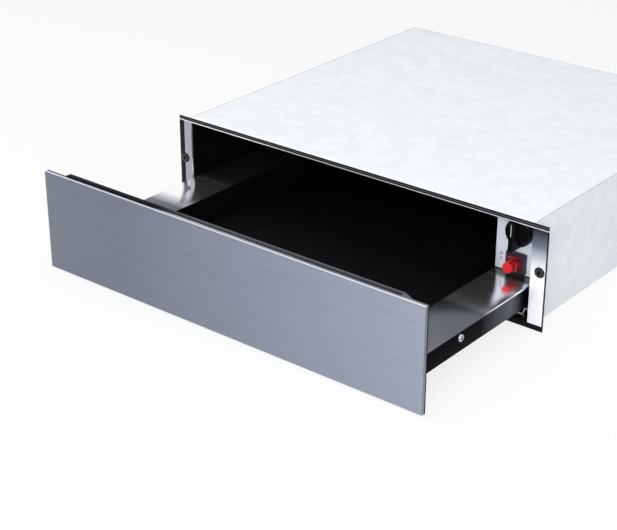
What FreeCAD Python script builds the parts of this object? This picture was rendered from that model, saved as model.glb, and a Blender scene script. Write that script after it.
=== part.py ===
import FreeCAD, Part
import math
import operator
import os
import Sketcher
from types import SimpleNamespace

# Built-in warming drawer for a 14 cm niche, pulled part of the way out. Millimetres.
# X runs to the right as seen from the front, Y into the cabinet and Z up. The origin is at
# mid width, on the cabinet's front plane, at the underside of the housing.
#
# Widths are worked out inwards from the frame's width, depths forwards from the housing's
# back, and heights upwards from the floor, so a change of one size moves what seats on it.

SIZES = {
    # Drawer front: a folded steel skin on a black backing, with a narrower inner front behind.
    "front_width": 595.0,
    "front_height": 135.0,
    "front_reveal": 1.6,
    "skin_sheet": 1.0,
    "skin_return": 4.0,
    "backing_thickness": 2.2,
    "inner_front_depth": 6.8,
    "inner_front_side_gap": 0.5,
    "inner_front_drop": 0.8,
    "inner_front_foot": 6.4,
    "inner_front_sheet": 1.2,
    "front_screw_span": 360.0,
    "front_screw_rise": 94.0,
    "front_screw_head": 4.5,
    "front_screw_head_height": 2.0,
    "front_screw_shank": 1.8,
    "front_screw_grip": 1.1,
    "door_thickness": 21.0,
    "opened_by": 231.0,
    "push_clearance": 0.5,
    # Housing and the frame round its mouth.
    "frame_width": 595.0,
    "flange_lap": 19.5,
    "body_depth": 530.0,
    "sheet": 1.2,
    "flange_sheet": 1.5,
    "flange_return": 22.0,
    "bottom_strip_height": 7.5,
    "top_strip_height": 5.0,
    "rail_edge": 1.7,
    "strip_depth": 6.0,
    "fixing_inset": 9.0,
    "fixing_height": 78.5,
    "fixing_shank": 2.0,
    "fixing_neck": 2.4,
    "fixing_neck_length": 2.0,
    "fixing_reach": 14.0,
    "fixing_tip": 3.0,
    "fixing_tip_radius": 0.4,
    "fixing_head": 7.0,
    "fixing_head_height": 2.2,
    # Drawer tub and the side rails that make its rim.
    "rim_side_gap": 4.8,
    "rim_width": 61.0,
    "rim_height": 53.5,
    "rim_sheet": 1.0,
    "skirt_height": 27.0,
    "tub_sheet": 1.0,
    "tub_floor": 12.0,
    "mat_margin": 2.0,
    "mat_thickness": 2.0,
    "bracket_sheet": 1.2,
    "bracket_foot": 36.0,
    "bracket_reach": 114.0,
    "bracket_height": 20.0,
    "bracket_drop": 3.5,
    "skirt_screw_setback": 110.0,
    "skirt_screw_drop": 9.5,
    "skirt_screw_head": 5.0,
    "skirt_screw_head_height": 2.6,
    "skirt_screw_shank": 2.0,
    "skirt_screw_length": 5.0,
    # Ball runners between the tub's walls and the floor brackets.
    "runner_height": 32.0,
    "runner_centre": 31.0,
    "runner_depth": 12.2,
    "runner_sheet": 1.2,
    "runner_gap": 0.8,
    "lip_gap": 2.0,
    "runner_rear_gap": 24.3,
    "middle_length": 400.0,
    "drawer_member_length": 440.0,
    "member_setback": 2.0,
    "ball_radius": 1.6,
    "ball_clearance": 0.1,
    "balls_per_row": 6.0,
    "cage_length": 190.0,
    "cage_sheet": 1.2,
    "cage_wall": 0.3,
    "cage_end": 7.5,
    "floor_bracket_sheet": 1.2,
    "leg_drop": 1.0,
    "hump_inset": 18.0,
    "hump_height": 8.8,
    "hump_slope": 1.5,
    "hump_top": 9.5,
    "hump_fall": 3.0,
    "bracket_toe": 5.0,
    "guide_inset": 1.0,
    "guide_seat_gap": 0.5,
    "guide_run": 3.0,
    "guide_rise": 8.3,
    "guide_crest": 3.5,
    "guide_lean": 1.4,
    "guide_fall": 3.3,
    "runner_screw_radius": 2.0,
    "runner_screw_head": 4.0,
    "runner_screw_head_height": 2.0,
    "runner_screw_front": 54.0,
    "runner_screw_rear": 36.0,
    "runner_screw_end_gap": 0.2,
    # Control panel beside the drawer, above its right side rail.
    "panel_setback": 23.0,
    "panel_clearance": 0.8,
    "panel_height": 84.5,
    "panel_box_depth": 90.0,
    "panel_tab": 36.0,
    "wire_hole_clearance": 0.2,
    "knob_across": 36.0,
    "knob_gap": 1.8,
    "knob_radius": 17.5,
    "knob_thickness": 11.5,
    "knob_lift": 0.5,
    "knob_draft": 0.5,
    "knob_chamfer": 1.5,
    "grip_width": 7.6,
    "grip_length": 37.0,
    "grip_depth": 15.0,
    "grip_draft": 0.6,
    "grip_edge": 1.0,
    "nub_proud": 1.2,
    "nub_root": 2.0,
    "nub_size": 3.0,
    "pointer_width": 1.5,
    "pointer_length": 16.0,
    "pointer_gap": 1.5,
    "pointer_inlay": 0.6,
    "shaft_radius": 3.0,
    "shaft_depth": 10.0,
    "shaft_bite": 2.0,
    "press_clearance": 0.02,
    "end_play": 0.5,
    "bush_radius": 5.0,
    "bush_length": 3.0,
    "bush_gap": 1.0,
    "bush_end_gap": 1.5,
    "thermostat_width": 38.0,
    "thermostat_height": 32.0,
    "thermostat_depth": 28.0,
    "tag_pitch": 10.0,
    "tag_sheet": 0.8,
    "tag_length": 8.0,
    "tag_height": 6.0,
    "fit_clearance": 0.06,
    "overrun": 1.0,
    "switch_across": 31.0,
    "bezel_gap": 1.7,
    "bezel_width": 28.0,
    "bezel_height": 27.0,
    "bezel_depth": 5.0,
    "switch_body": 24.0,
    "switch_body_depth": 23.0,
    "switch_bore_depth": 8.0,
    "collar_size": 22.0,
    "collar_depth": 8.0,
    "button_radius": 7.0,
    "button_proud": 10.0,
    "button_edge": 0.8,
    "button_travel": 3.0,
    "button_rest_gap": 1.0,
    "lamp_radius": 3.0,
    "lamp_length": 8.5,
    "lamp_nose": 2.0,
    "lamp_taper": 1.5,
    # Fan heater on the back wall.
    "fan_height": 72.0,
    "fan_box_width": 190.0,
    "fan_box_depth": 58.8,
    "intake_inner_ring": 14.0,
    "intake_outer_ring": 27.0,
    "intake_hole": 4.0,
    "outlet_pitch": 16.0,
    "outlet_length": 20.0,
    "outlet_width": 6.0,
    "outlet_margin": 8.0,
    "motor_radius": 28.0,
    "motor_length": 31.0,
    "motor_edge": 3.0,
    "motor_boss": 8.0,
    "motor_boss_length": 3.0,
    "fan_shaft_radius": 2.0,
    "fan_shaft_reach": 20.0,
    "impeller_gap": 6.0,
    "impeller_radius": 38.0,
    "impeller_depth": 11.0,
    "impeller_sheet": 1.2,
    "hub_radius": 6.0,
    "blade_count": 12.0,
    "blade_chord": 11.0,
    "blade_sheet": 1.2,
    "blade_rim_gap": 1.0,
    "element_radius": 50.0,
    "element_tube": 3.2,
    "element_leg_span": 18.0,
    "cutout_radius": 8.0,
    "cutout_cup": 4.0,
    "cutout_edge": 1.0,
    "cutout_post": 4.0,
    "cutout_length": 9.0,
    "cutout_rise": 28.0,
    # Mains entry, wiring and the push latch on the back wall.
    "gland_inset": 36.8,
    "gland_up": 40.0,
    "gland_bore": 4.5,
    "gland_thread": 7.5,
    "gland_flange": 11.0,
    "gland_inner": 10.0,
    "gland_nut": 4.0,
    "gland_shoulder": 5.0,
    "gland_outer": 12.0,
    "gland_dome": 3.0,
    "terminal_shift": 5.0,
    "terminal_gap": 28.0,
    "terminal_width": 40.0,
    "terminal_depth": 20.0,
    "terminal_height": 20.0,
    "well_pitch": 12.0,
    "well_radius": 2.5,
    "well_depth": 8.0,
    "well_setback": 4.0,
    "loom_radius": 3.0,
    "loom_bend": 14.0,
    "loom_side_gap": 8.8,
    "loom_drop": 16.8,
    "loom_setback": 5.0,
    "loom_rise": 34.0,
    "loom_climb": 30.0,
    "loom_turn": 24.0,
    "loom_entry": 16.0,
    "loom_offset": 6.0,
    "loom_tail": 22.0,
    "loom_tail_rise": 7.0,
    "lead_radius": 2.5,
    "lead_inset": 6.0,
    "lead_turn": 50.0,
    "lead_climb": 10.0,
    "capillary_radius": 1.0,
    "capillary_rise": 6.0,
    "capillary_start": 16.0,
    "capillary_climb": 24.0,
    "probe_offset": 7.0,
    "probe_drop": 10.8,
    "bulb_setback": 40.0,
    "bulb_radius": 3.0,
    "bulb_length": 70.0,
    "clip_width": 8.0,
    "clip_wall": 2.2,
    "clip_front": 70.0,
    "clip_rear": 38.0,
    "clip_inset": 12.0,
    "latch_inset": 31.0,
    "latch_up": 30.0,
    "latch_width": 30.0,
    "latch_height": 24.0,
    "latch_depth": 52.8,
    "latch_end_wall": 8.0,
    "plunger_radius": 4.0,
    "plunger_edge": 1.0,
    "plunger_reach": 12.0,
    "plunger_guide": 12.0,
    "plunger_tail": 12.0,
    "plunger_pin": 1.2,
    "plunger_travel": 6.0,
    "striker_width": 24.0,
    "striker_height": 20.0,
    "striker_thickness": 1.5,
    "spring_radius": 2.6,
    "spring_wire": 0.5,
    "spring_gap": 1.2,
}

# Counts of what repeats, and the shape of a domed screw head as shares of its own size.
INNER_RING_HOLES = 8
OUTER_RING_HOLES = 14
OUTLET_ROWS = 6
SPRING_TURNS = 9
DOME_RIM = 0.45
DOME_TOP = 0.55
# The most of a run that the arc at its end may take.
ARC_SHARE = 0.45

OPERATIONS = {"+": operator.add, "-": operator.sub, "*": operator.mul, "/": operator.truediv}
TO_AXIS = {
    "x": FreeCAD.Rotation(FreeCAD.Vector(0, 1, 0), 90),
    "y": FreeCAD.Rotation(FreeCAD.Vector(1, 0, 0), -90),
    "z": FreeCAD.Rotation(),
}
SIDES = {"left": -1, "right": 1}


class Dim:
    """A size: its value in millimetres and the sheet formula that gives it."""

    def __init__(self, value, formula):
        self.value = value
        self.formula = formula

    def __add__(self, other):
        return combine(self, "+", other)

    def __radd__(self, other):
        return combine(other, "+", self)

    def __sub__(self, other):
        return combine(self, "-", other)

    def __rsub__(self, other):
        return combine(other, "-", self)

    def __mul__(self, other):
        return combine(self, "*", other)

    def __rmul__(self, other):
        return combine(other, "*", self)

    def __truediv__(self, other):
        return combine(self, "/", other)

    def __neg__(self):
        return combine(-1, "*", self)


def as_dim(size):
    """A plain number as a size of its own."""
    if isinstance(size, Dim):
        return size
    return Dim(float(size), f"({float(size)!r})")


def combine(left, sign, right):
    """The size that an operation gives, with its formula."""
    left = as_dim(left)
    right = as_dim(right)
    value = OPERATIONS[sign](left.value, right.value)
    return Dim(value, f"({left.formula} {sign} {right.formula})")


def make_sheet():
    """Put the driving dimensions into the spreadsheet and return them by name."""
    sheet = doc.addObject("Spreadsheet::Sheet", "Sizes")
    sizes = SimpleNamespace()
    for row, (name, number) in enumerate(SIZES.items(), start=1):
        sheet.set(f"A{row}", name)
        sheet.set(f"B{row}", str(number))
        sheet.setAlias(f"B{row}", name)
        setattr(sizes, name, Dim(number, f"Sizes.{name}"))
    doc.recompute()
    return sizes


def bind(feature, target, size):
    """Tie a property of a feature to the sheet."""
    feature.setExpression(target, as_dim(size).formula)


def in_order(ends):
    """The two ends of a span, lower one first."""
    return sorted(map(as_dim, ends), key=lambda end: end.value)


def place(feature, spots):
    """Tie a feature's position to the sheet; spots maps x, y and z to sizes."""
    for axis, spot in spots.items():
        bind(feature, f"Placement.Base.{axis}", spot)


def block(x, y, z):
    """A box between two planes along each axis."""
    box = doc.addObject("Part::Box", "Block")
    for side, axis, ends in zip(("Length", "Width", "Height"), "xyz", (x, y, z)):
        low, high = in_order(ends)
        bind(box, side, high - low)
        place(box, {axis: low})
    return box


def rod(axis, centre, radius, span):
    """A round bar along an axis; centre is its place on the other two, in X, Y, Z order."""
    bar = doc.addObject("Part::Cylinder", "Rod")
    low, high = in_order(span)
    bar.Placement = FreeCAD.Placement(FreeCAD.Vector(), TO_AXIS[axis])
    bind(bar, "Radius", radius)
    bind(bar, "Height", high - low)
    across = "xyz".replace(axis, "")
    place(bar, {axis: low, across[0]: centre[0], across[1]: centre[1]})
    return bar


def ball(centre, radius):
    """A ball at a point."""
    sphere = doc.addObject("Part::Sphere", "Ball")
    bind(sphere, "Radius", radius)
    place(sphere, dict(zip("xyz", centre)))
    return sphere


def fuse(*shapes):
    """One solid from several that touch or overlap."""
    joined = doc.addObject("Part::MultiFuse", "Fuse")
    joined.Shapes = list(shapes)
    joined.Refine = True
    return joined


def group(*shapes):
    """Separate solids held together as one sub-part."""
    bunch = doc.addObject("Part::Compound", "Group")
    bunch.Links = list(shapes)
    return bunch


def cut(base, *tools):
    """A shape with others taken out of it."""
    result = doc.addObject("Part::Cut", "Cut")
    result.Base = base
    result.Tool = tools[0] if len(tools) == 1 else group(*tools)
    return result


def origin_part(body, role):
    """A plane or axis of a body's own origin."""
    return next(part for part in body.Origin.OriginFeatures if part.Role == role)


def polygon_sketch(body, plane, points):
    """A closed outline on one of the body's planes, each corner tied to the sheet."""
    sketch = body.newObject("Sketcher::SketchObject", "Outline")
    sketch.AttachmentSupport = [(origin_part(body, plane), "")]
    sketch.MapMode = "FlatFace"
    corners = [(as_dim(across), as_dim(up)) for across, up in points]
    spots = [FreeCAD.Vector(across.value, up.value, 0) for across, up in corners]
    count = len(corners)
    for index in range(count):
        sketch.addGeometry(Part.LineSegment(spots[index], spots[(index + 1) % count]), False)
    for index in range(count):
        sketch.addConstraint(Sketcher.Constraint("Coincident", index, 2, (index + 1) % count, 1))
    for index, corner in enumerate(corners):
        for kind, size in zip(("DistanceX", "DistanceY"), corner):
            number = sketch.addConstraint(Sketcher.Constraint(kind, -1, 1, index, 1, size.value))
            bind(sketch, f"Constraints[{number}]", size)
    return sketch


def new_body(name):
    """An empty body with a name that says how it is made."""
    return doc.addObject("PartDesign::Body", name)


def padded(plane, points, span):
    """An outline on a plane, padded between two stations along the plane's axis."""
    body = new_body("Padded")
    sketch = polygon_sketch(body, plane, points)
    low, high = in_order(span)
    against_axis = plane == "XZ_Plane"
    bind(sketch, "AttachmentOffset.Base.z", -low if against_axis else low)
    pad = body.newObject("PartDesign::Pad", "Pad")
    pad.Profile = sketch
    pad.Reversed = against_axis
    bind(pad, "Length", high - low)
    return body


def bent_sheet(plane, path, thickness, span, side=1):
    """Folded sheet: path is one face in section, with the metal on its left, or right at -1."""
    spots = [(as_dim(across).value, as_dim(up).value) for across, up in path]
    normals = []
    for (x0, y0), (x1, y1) in zip(spots, spots[1:]):
        run = math.hypot(x1 - x0, y1 - y0)
        normals.append((-(y1 - y0) / run * side, (x1 - x0) / run * side))
    offsets = [normals[0]]
    for (x0, y0), (x1, y1) in zip(normals, normals[1:]):
        share = 1 + x0 * x1 + y0 * y1
        offsets.append(((x0 + x1) / share, (y0 + y1) / share))
    offsets.append(normals[-1])
    far_face = []
    for (across, up), (off_x, off_y) in zip(path, offsets):
        far_face.append((across + thickness * round(off_x, 6), up + thickness * round(off_y, 6)))
    return padded(plane, list(path) + far_face[::-1], span)


def turned(axis, spot, outline):
    """A turned piece: outline gives (along, radius) from its spot, about one of the axes."""
    body = new_body("Turned")
    plane = {"x": "XY_Plane", "y": "YZ_Plane", "z": "XZ_Plane"}[axis]
    points = [(radius, along) for along, radius in outline] if axis == "z" else outline
    sketch = polygon_sketch(body, plane, points)
    revolution = body.newObject("PartDesign::Revolution", "Revolution")
    revolution.Profile = sketch
    revolution.ReferenceAxis = (sketch, ["V_Axis" if axis == "z" else "H_Axis"])
    revolution.Angle = 360
    place(body, dict(zip("xyz", spot)))
    return body


def screw(axis, spot, head, shank, outward):
    """A domed screw; head and shank give radius and length, and the head stands outward."""
    head_radius, head_height = head
    shank_radius, shank_length = shank
    outline = [
        (-outward * shank_length, 0),
        (-outward * shank_length, shank_radius),
        (0, shank_radius),
        (0, head_radius),
        (outward * head_height * DOME_RIM, head_radius),
        (outward * head_height, head_radius * DOME_TOP),
        (outward * head_height, 0),
    ]
    return turned(axis, spot, outline)


def rounded_path(points, bend):
    """Straight runs joined by tangent arcs, none larger than the bend or the runs allow."""
    edges = []
    start = points[0]
    for before, corner, after in zip(points, points[1:], points[2:]):
        back = (before - corner).normalize()
        ahead = (after - corner).normalize()
        half_turn = (math.pi - back.getAngle(ahead)) / 2
        shorter = min((before - corner).Length, (after - corner).Length)
        reach = min(bend * math.tan(half_turn), ARC_SHARE * shorter)
        radius = reach / math.tan(half_turn)
        inward = (back + ahead).normalize()
        middle = corner + inward * (radius / math.cos(half_turn) - radius)
        first = corner + back * reach
        last = corner + ahead * reach
        edges.append(Part.LineSegment(start, first).toShape())
        edges.append(Part.Arc(first, middle, last).toShape())
        start = last
    edges.append(Part.LineSegment(start, points[-1]).toShape())
    return Part.Wire(edges)


def tube_shape(points, radius, bend):
    """A round tube along a rounded path."""
    spots = [FreeCAD.Vector(*(as_dim(size).value for size in point)) for point in points]
    path = rounded_path(spots, bend.value)
    ring = Part.Wire(Part.makeCircle(radius.value, spots[0], spots[1] - spots[0]))
    return path.makePipeShell([ring], True, False)


def shaped(shape):
    """A sub-part whose shape is worked out here from the sheet's values."""
    feature = doc.addObject("Part::Feature", "Shaped")
    feature.Shape = shape
    return feature


def keep(label, feature):
    """Name a finished sub-part and put it on the list that is written out."""
    feature.Label = label
    pieces.append(feature)
    return feature


def check_state():
    """Stop if any feature failed or any finished shape is empty or broken."""
    for feature in doc.Objects:
        if "Invalid" in feature.State or "Error" in feature.State:
            raise RuntimeError(f"{feature.Label} failed: {feature.State}")
    for feature in pieces:
        if feature.Shape.isNull() or not feature.Shape.isValid() or not feature.Shape.Solids:
            raise RuntimeError(f"{feature.Label} has no valid shape")


def write_parts():
    """Write each sub-part to its own STEP file."""
    os.makedirs("parts", exist_ok=True)
    for feature in pieces:
        feature.Shape.exportStep(f"parts/{feature.Label}.step")


doc = FreeCAD.newDocument("warming_drawer")
size = make_sheet()
pieces = []

# Half widths, from the frame inwards: frame, housing, mouth, rim and tub.
frame_half = size.frame_width / 2
body_half = frame_half - size.flange_lap
inner_half = body_half - size.sheet
opening_half = inner_half - size.flange_sheet
rim_outer = inner_half - size.rim_side_gap
tub_half = rim_outer - size.rim_width
tub_outer = tub_half + size.tub_sheet
# Heights, from the floor upwards: rim, panel, roof and the frame's upper edge.
rim_under = size.rim_height - size.rim_sheet
panel_floor = size.rim_height + size.panel_clearance
roof = panel_floor + size.panel_height
frame_height = roof + size.sheet
strip_bottom = frame_height - size.top_strip_height
rail_bottom = strip_bottom - size.rail_edge
# Stations along Y: the latch on the housing's back wall stops the closed tub's back.
back_inner = size.body_depth - size.sheet
latch_front = back_inner - size.latch_depth
plunger_tip = latch_front - size.plunger_reach
tub_back = plunger_tip - size.push_clearance - size.striker_thickness - size.opened_by
# Stations along Y: the terminal block behind the right runner sets how long the runners are.
terminal_back = back_inner - size.terminal_gap
terminal_front = terminal_back - size.terminal_depth
# Stations along Y: the front as it stands at rest, pulled open.
front_face = -(size.door_thickness + size.opened_by)
skin_back = front_face + size.skin_return
backing_back = skin_back + size.backing_thickness
tub_front = backing_back + size.inner_front_depth


def past(low, high):
    """A cutting tool's span: past both ends of the wall that it goes through."""
    return (low - size.overrun, high + size.overrun)


def build_housing():
    """The casing of flat sheets, open at the front."""
    across = (-inner_half, inner_half)
    along = (size.strip_depth, back_inner)
    hole_radius = size.runner_screw_radius + size.fit_clearance
    screw_holes = [
        rod("z", (sign * runner_screw_x, y), hole_radius, past(0, size.sheet))
        for sign in SIDES.values()
        for y in runner_screw_y
    ]
    keep("housing_base", cut(block(across, along, (0, size.sheet)), *screw_holes))
    keep("housing_top", block(across, along, (roof, frame_height)))
    for name, sign in SIDES.items():
        wall = block((sign * inner_half, sign * body_half), (0, back_inner), (0, frame_height))
        keep(f"housing_{name}", wall)
    back = block((-body_half, body_half), (back_inner, size.body_depth), (0, frame_height))
    gland_radius = size.gland_thread + size.fit_clearance
    gland_hole = rod("y", (gland_x, size.gland_up), gland_radius, past(back_inner, size.body_depth))
    keep("housing_back", cut(back, gland_hole))


def strip(z):
    """A bar across the mouth: a full-width face in front and a body between the side walls."""
    face = block((-frame_half, frame_half), (-size.flange_sheet, 0), z)
    bar = block((-inner_half, inner_half), (0, size.strip_depth), z)
    return fuse(face, bar)


def fixing_screw(spot):
    """A wood screw: domed head, plain neck through the flange, shank and blunt tip."""
    reach = size.fixing_reach + size.flange_sheet
    head = size.fixing_head
    height = size.fixing_head_height
    outline = [
        (reach, 0),
        (reach, size.fixing_tip_radius),
        (reach - size.fixing_tip, size.fixing_shank),
        (size.fixing_neck_length, size.fixing_shank),
        (size.fixing_neck_length, size.fixing_neck),
        (0, size.fixing_neck),
        (0, head),
        (-height * DOME_RIM, head),
        (-height, head * DOME_TOP),
        (-height, 0),
    ]
    return turned("y", spot, outline)


def build_frame():
    """Strips, bright rail, flanges and fixing screws round the mouth of the housing."""
    keep("bottom_strip", strip((0, size.bottom_strip_height)))
    keep("top_strip", strip((strip_bottom, frame_height)))
    face = block((-frame_half, frame_half), (-size.flange_sheet, 0), (rail_bottom, strip_bottom))
    shelf_back = size.strip_depth + size.sheet
    shelf = block((-inner_half, inner_half), (0, shelf_back), (rail_bottom, strip_bottom))
    upright = block((-inner_half, inner_half), (size.strip_depth, shelf_back), (strip_bottom, roof))
    keep("top_rail", fuse(face, shelf, upright))
    screws = []
    for name, sign in SIDES.items():
        outline = [
            (sign * opening_half, -size.flange_sheet),
            (sign * frame_half, -size.flange_sheet),
            (sign * frame_half, 0),
            (sign * inner_half, 0),
            (sign * inner_half, size.flange_return),
            (sign * opening_half, size.flange_return),
        ]
        flange = padded("XY_Plane", outline, (size.bottom_strip_height, rail_bottom))
        fixing_x = sign * (frame_half - size.fixing_inset)
        hole_radius = size.fixing_neck + size.fit_clearance
        hole = rod("y", (fixing_x, size.fixing_height), hole_radius, past(-size.flange_sheet, 0))
        keep(f"{name}_flange", cut(flange, hole))
        screws.append(fixing_screw((fixing_x, -size.flange_sheet, size.fixing_height)))
    keep("fixing_screws", group(*screws))


# Ball runners: sections from the tub's wall outwards, and heights about the runner's centre.
member_step = size.runner_sheet + 2 * (size.ball_radius + size.ball_clearance)
fixed_half_height = size.runner_height / 2
middle_half_height = fixed_half_height - member_step
drawer_half_height = middle_half_height - member_step
fixed_back = tub_outer + size.runner_depth
fixed_face = fixed_back - size.runner_sheet
middle_back = fixed_face - size.runner_gap
middle_face = middle_back - size.runner_sheet
lip_start = tub_outer + size.lip_gap
drawer_lip_end = middle_face - size.runner_gap
ball_x = (lip_start + middle_face) / 2
runner_front = size.strip_depth + size.push_clearance
runner_back = terminal_front - size.runner_rear_gap
middle_front = runner_front + size.member_setback - size.opened_by / 2
drawer_member_front = runner_front + size.member_setback - size.opened_by
hump_start = rim_outer - size.hump_inset
runner_screw_x = (fixed_back + hump_start) / 2
first_screw_y = runner_front + size.runner_screw_front
last_screw_y = runner_back - size.runner_screw_rear
runner_screw_y = [first_screw_y, (first_screw_y + last_screw_y) / 2, last_screw_y]


def channel(sign, web, lip, half_height, span):
    """A channel on its side: web and lip are the X of its back and of its lips' edges."""
    low = size.runner_centre - half_height
    high = size.runner_centre + half_height
    path = [(sign * lip, high), (sign * web, high), (sign * web, low), (sign * lip, low)]
    inward = -sign if web.value > lip.value else sign
    return bent_sheet("XZ_Plane", path, size.runner_sheet, span, inward)


def ball_rows():
    """Each row of balls: its height and the station where its cage starts."""
    ball_seat = size.runner_sheet + size.ball_radius + size.ball_clearance
    fixed_row = fixed_half_height - ball_seat
    drawer_row = middle_half_height - ball_seat
    rear_cage = middle_front + size.middle_length - size.cage_end - size.cage_length
    front_cage = middle_front + size.cage_end
    return [
        (size.runner_centre + fixed_row, rear_cage),
        (size.runner_centre - fixed_row, rear_cage),
        (size.runner_centre + drawer_row, front_cage),
        (size.runner_centre - drawer_row, front_cage),
    ]


def build_cages(name, sign):
    """The ball cages of one runner and the balls in them."""
    cages = []
    balls = []
    count = int(size.balls_per_row.value)
    hole_radius = size.ball_radius + size.ball_clearance
    half_width = hole_radius + size.cage_wall
    strip_x = (sign * (ball_x - half_width), sign * (ball_x + half_width))
    for height, start in ball_rows():
        low = height - size.cage_sheet / 2
        high = height + size.cage_sheet / 2
        stations = [start + size.cage_length * (index + 0.5) / count for index in range(count)]
        holes = [rod("z", (sign * ball_x, y), hole_radius, past(low, high)) for y in stations]
        cage = block(strip_x, (start, start + size.cage_length), (low, high))
        cages.append(cut(cage, *holes))
        balls += [ball((sign * ball_x, y, height), size.ball_radius) for y in stations]
    keep(f"ball_cage_{name}", group(*cages))
    keep(f"bearing_balls_{name}", group(*balls))


def floor_bracket(sign):
    """The bracket that carries a runner: upright leg, foot, stiffening hump and guide lip."""
    floor = size.sheet
    hump_z = floor + size.hump_height
    hump_near = hump_start + size.hump_slope
    hump_far = hump_near + size.hump_top
    hump_end = hump_far + size.hump_fall
    path = [
        (sign * fixed_back, size.runner_centre + fixed_half_height - size.leg_drop),
        (sign * fixed_back, floor),
        (sign * hump_start, floor),
        (sign * hump_near, hump_z),
        (sign * hump_far, hump_z),
        (sign * hump_end, floor),
        (sign * (hump_end + size.bracket_toe), floor),
    ]
    run = (runner_front, runner_back)
    bracket = bent_sheet("XZ_Plane", path, size.floor_bracket_sheet, run, sign)
    lip_z = hump_z + size.floor_bracket_sheet
    seat_end = hump_far - size.guide_seat_gap
    crest_z = lip_z + size.guide_rise
    crest_start = seat_end + size.guide_run
    crest_end = crest_start + size.guide_crest
    guide_path = [
        (sign * (hump_near + size.guide_inset), lip_z),
        (sign * seat_end, lip_z),
        (sign * crest_start, crest_z),
        (sign * crest_end, crest_z),
        (sign * (crest_end + size.guide_lean), crest_z - size.guide_fall),
    ]
    guide = bent_sheet("XZ_Plane", guide_path, size.floor_bracket_sheet, run, sign)
    hole_radius = size.runner_screw_radius + size.fit_clearance
    hole_span = past(floor, floor + size.floor_bracket_sheet)
    holes = [rod("z", (sign * runner_screw_x, y), hole_radius, hole_span) for y in runner_screw_y]
    return cut(fuse(bracket, guide), *holes)


def build_runners():
    """Both telescopic runners with their brackets, cages, balls and screws."""
    screws = []
    seat = size.sheet + size.floor_bracket_sheet
    head = (size.runner_screw_head, size.runner_screw_head_height)
    shank = (size.runner_screw_radius, seat - size.runner_screw_end_gap)
    for name, sign in SIDES.items():
        keep(f"runner_bracket_{name}", floor_bracket(sign))
        run = (runner_front, runner_back)
        keep(f"fixed_runner_{name}", channel(sign, fixed_back, lip_start, fixed_half_height, run))
        run = (middle_front, middle_front + size.middle_length)
        keep(f"middle_runner_{name}", channel(sign, middle_back, lip_start, middle_half_height, run))
        run = (drawer_member_front, drawer_member_front + size.drawer_member_length)
        member = channel(sign, tub_outer, drawer_lip_end, drawer_half_height, run)
        keep(f"drawer_runner_{name}", member)
        build_cages(name, sign)
        screws += [screw("z", (sign * runner_screw_x, y, seat), head, shank, 1) for y in runner_screw_y]
    keep("runner_screws", group(*screws))


def build_front():
    """The drawer's front: skin, core, backing and inner front."""
    half = size.front_width / 2
    low = size.front_reveal
    high = low + size.front_height
    pan = block((-half, half), (front_face, skin_back), (low, high))
    core_x = (-half + size.skin_sheet, half - size.skin_sheet)
    core_z = (low + size.skin_sheet, high - size.skin_sheet)
    core_front = front_face + size.skin_sheet
    hollow = block(core_x, (core_front, skin_back + size.overrun), core_z)
    keep("front_skin", cut(pan, hollow))
    keep("front_core", block(core_x, (core_front, skin_back), core_z))
    backing = block((-half, half), (skin_back, backing_back), (low, high))
    inner_half_width = rim_outer - size.inner_front_side_gap
    inner_x = (-inner_half_width, inner_half_width)
    inner_z = (low + size.inner_front_foot, high - size.inner_front_drop)
    inner = block(inner_x, (backing_back, tub_front), inner_z)
    wall = size.inner_front_sheet
    inner_hollow = block(
        (inner_x[0] + wall, inner_x[1] - wall),
        (backing_back - size.overrun, tub_front - wall),
        (inner_z[0] + wall, inner_z[1] - wall),
    )
    screws = []
    inner_holes = []
    backing_holes = []
    hole_radius = size.front_screw_shank + size.fit_clearance
    head = (size.front_screw_head, size.front_screw_head_height)
    shank = (size.front_screw_shank, size.inner_front_depth + size.front_screw_grip)
    for sign in SIDES.values():
        centre = (sign * size.front_screw_span / 2, low + size.front_screw_rise)
        inner_holes.append(rod("y", centre, hole_radius, past(tub_front - wall, tub_front)))
        backing_holes.append(rod("y", centre, hole_radius, past(skin_back, backing_back)))
        screws.append(screw("y", (centre[0], tub_front, centre[1]), head, shank, 1))
    keep("front_backing", cut(backing, *backing_holes))
    keep("inner_front", cut(inner, inner_hollow, *inner_holes))
    keep("front_screws", group(*screws))


def build_tub():
    """The drawer's open tub and the mat on its floor."""
    wall = size.tub_sheet
    floor = size.tub_floor + wall
    outer = block((-tub_outer, tub_outer), (tub_front, tub_back), (size.tub_floor, rim_under))
    inside_y = (tub_front + wall, tub_back - wall)
    inside = block((-tub_half, tub_half), inside_y, (floor, rim_under + size.overrun))
    keep("drawer_tub", cut(outer, inside))
    margin = size.mat_margin
    mat_x = (-tub_half + margin, tub_half - margin)
    mat_y = (inside_y[0] + margin, inside_y[1] - margin)
    keep("non_slip_mat", block(mat_x, mat_y, (floor, floor + size.mat_thickness)))


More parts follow.
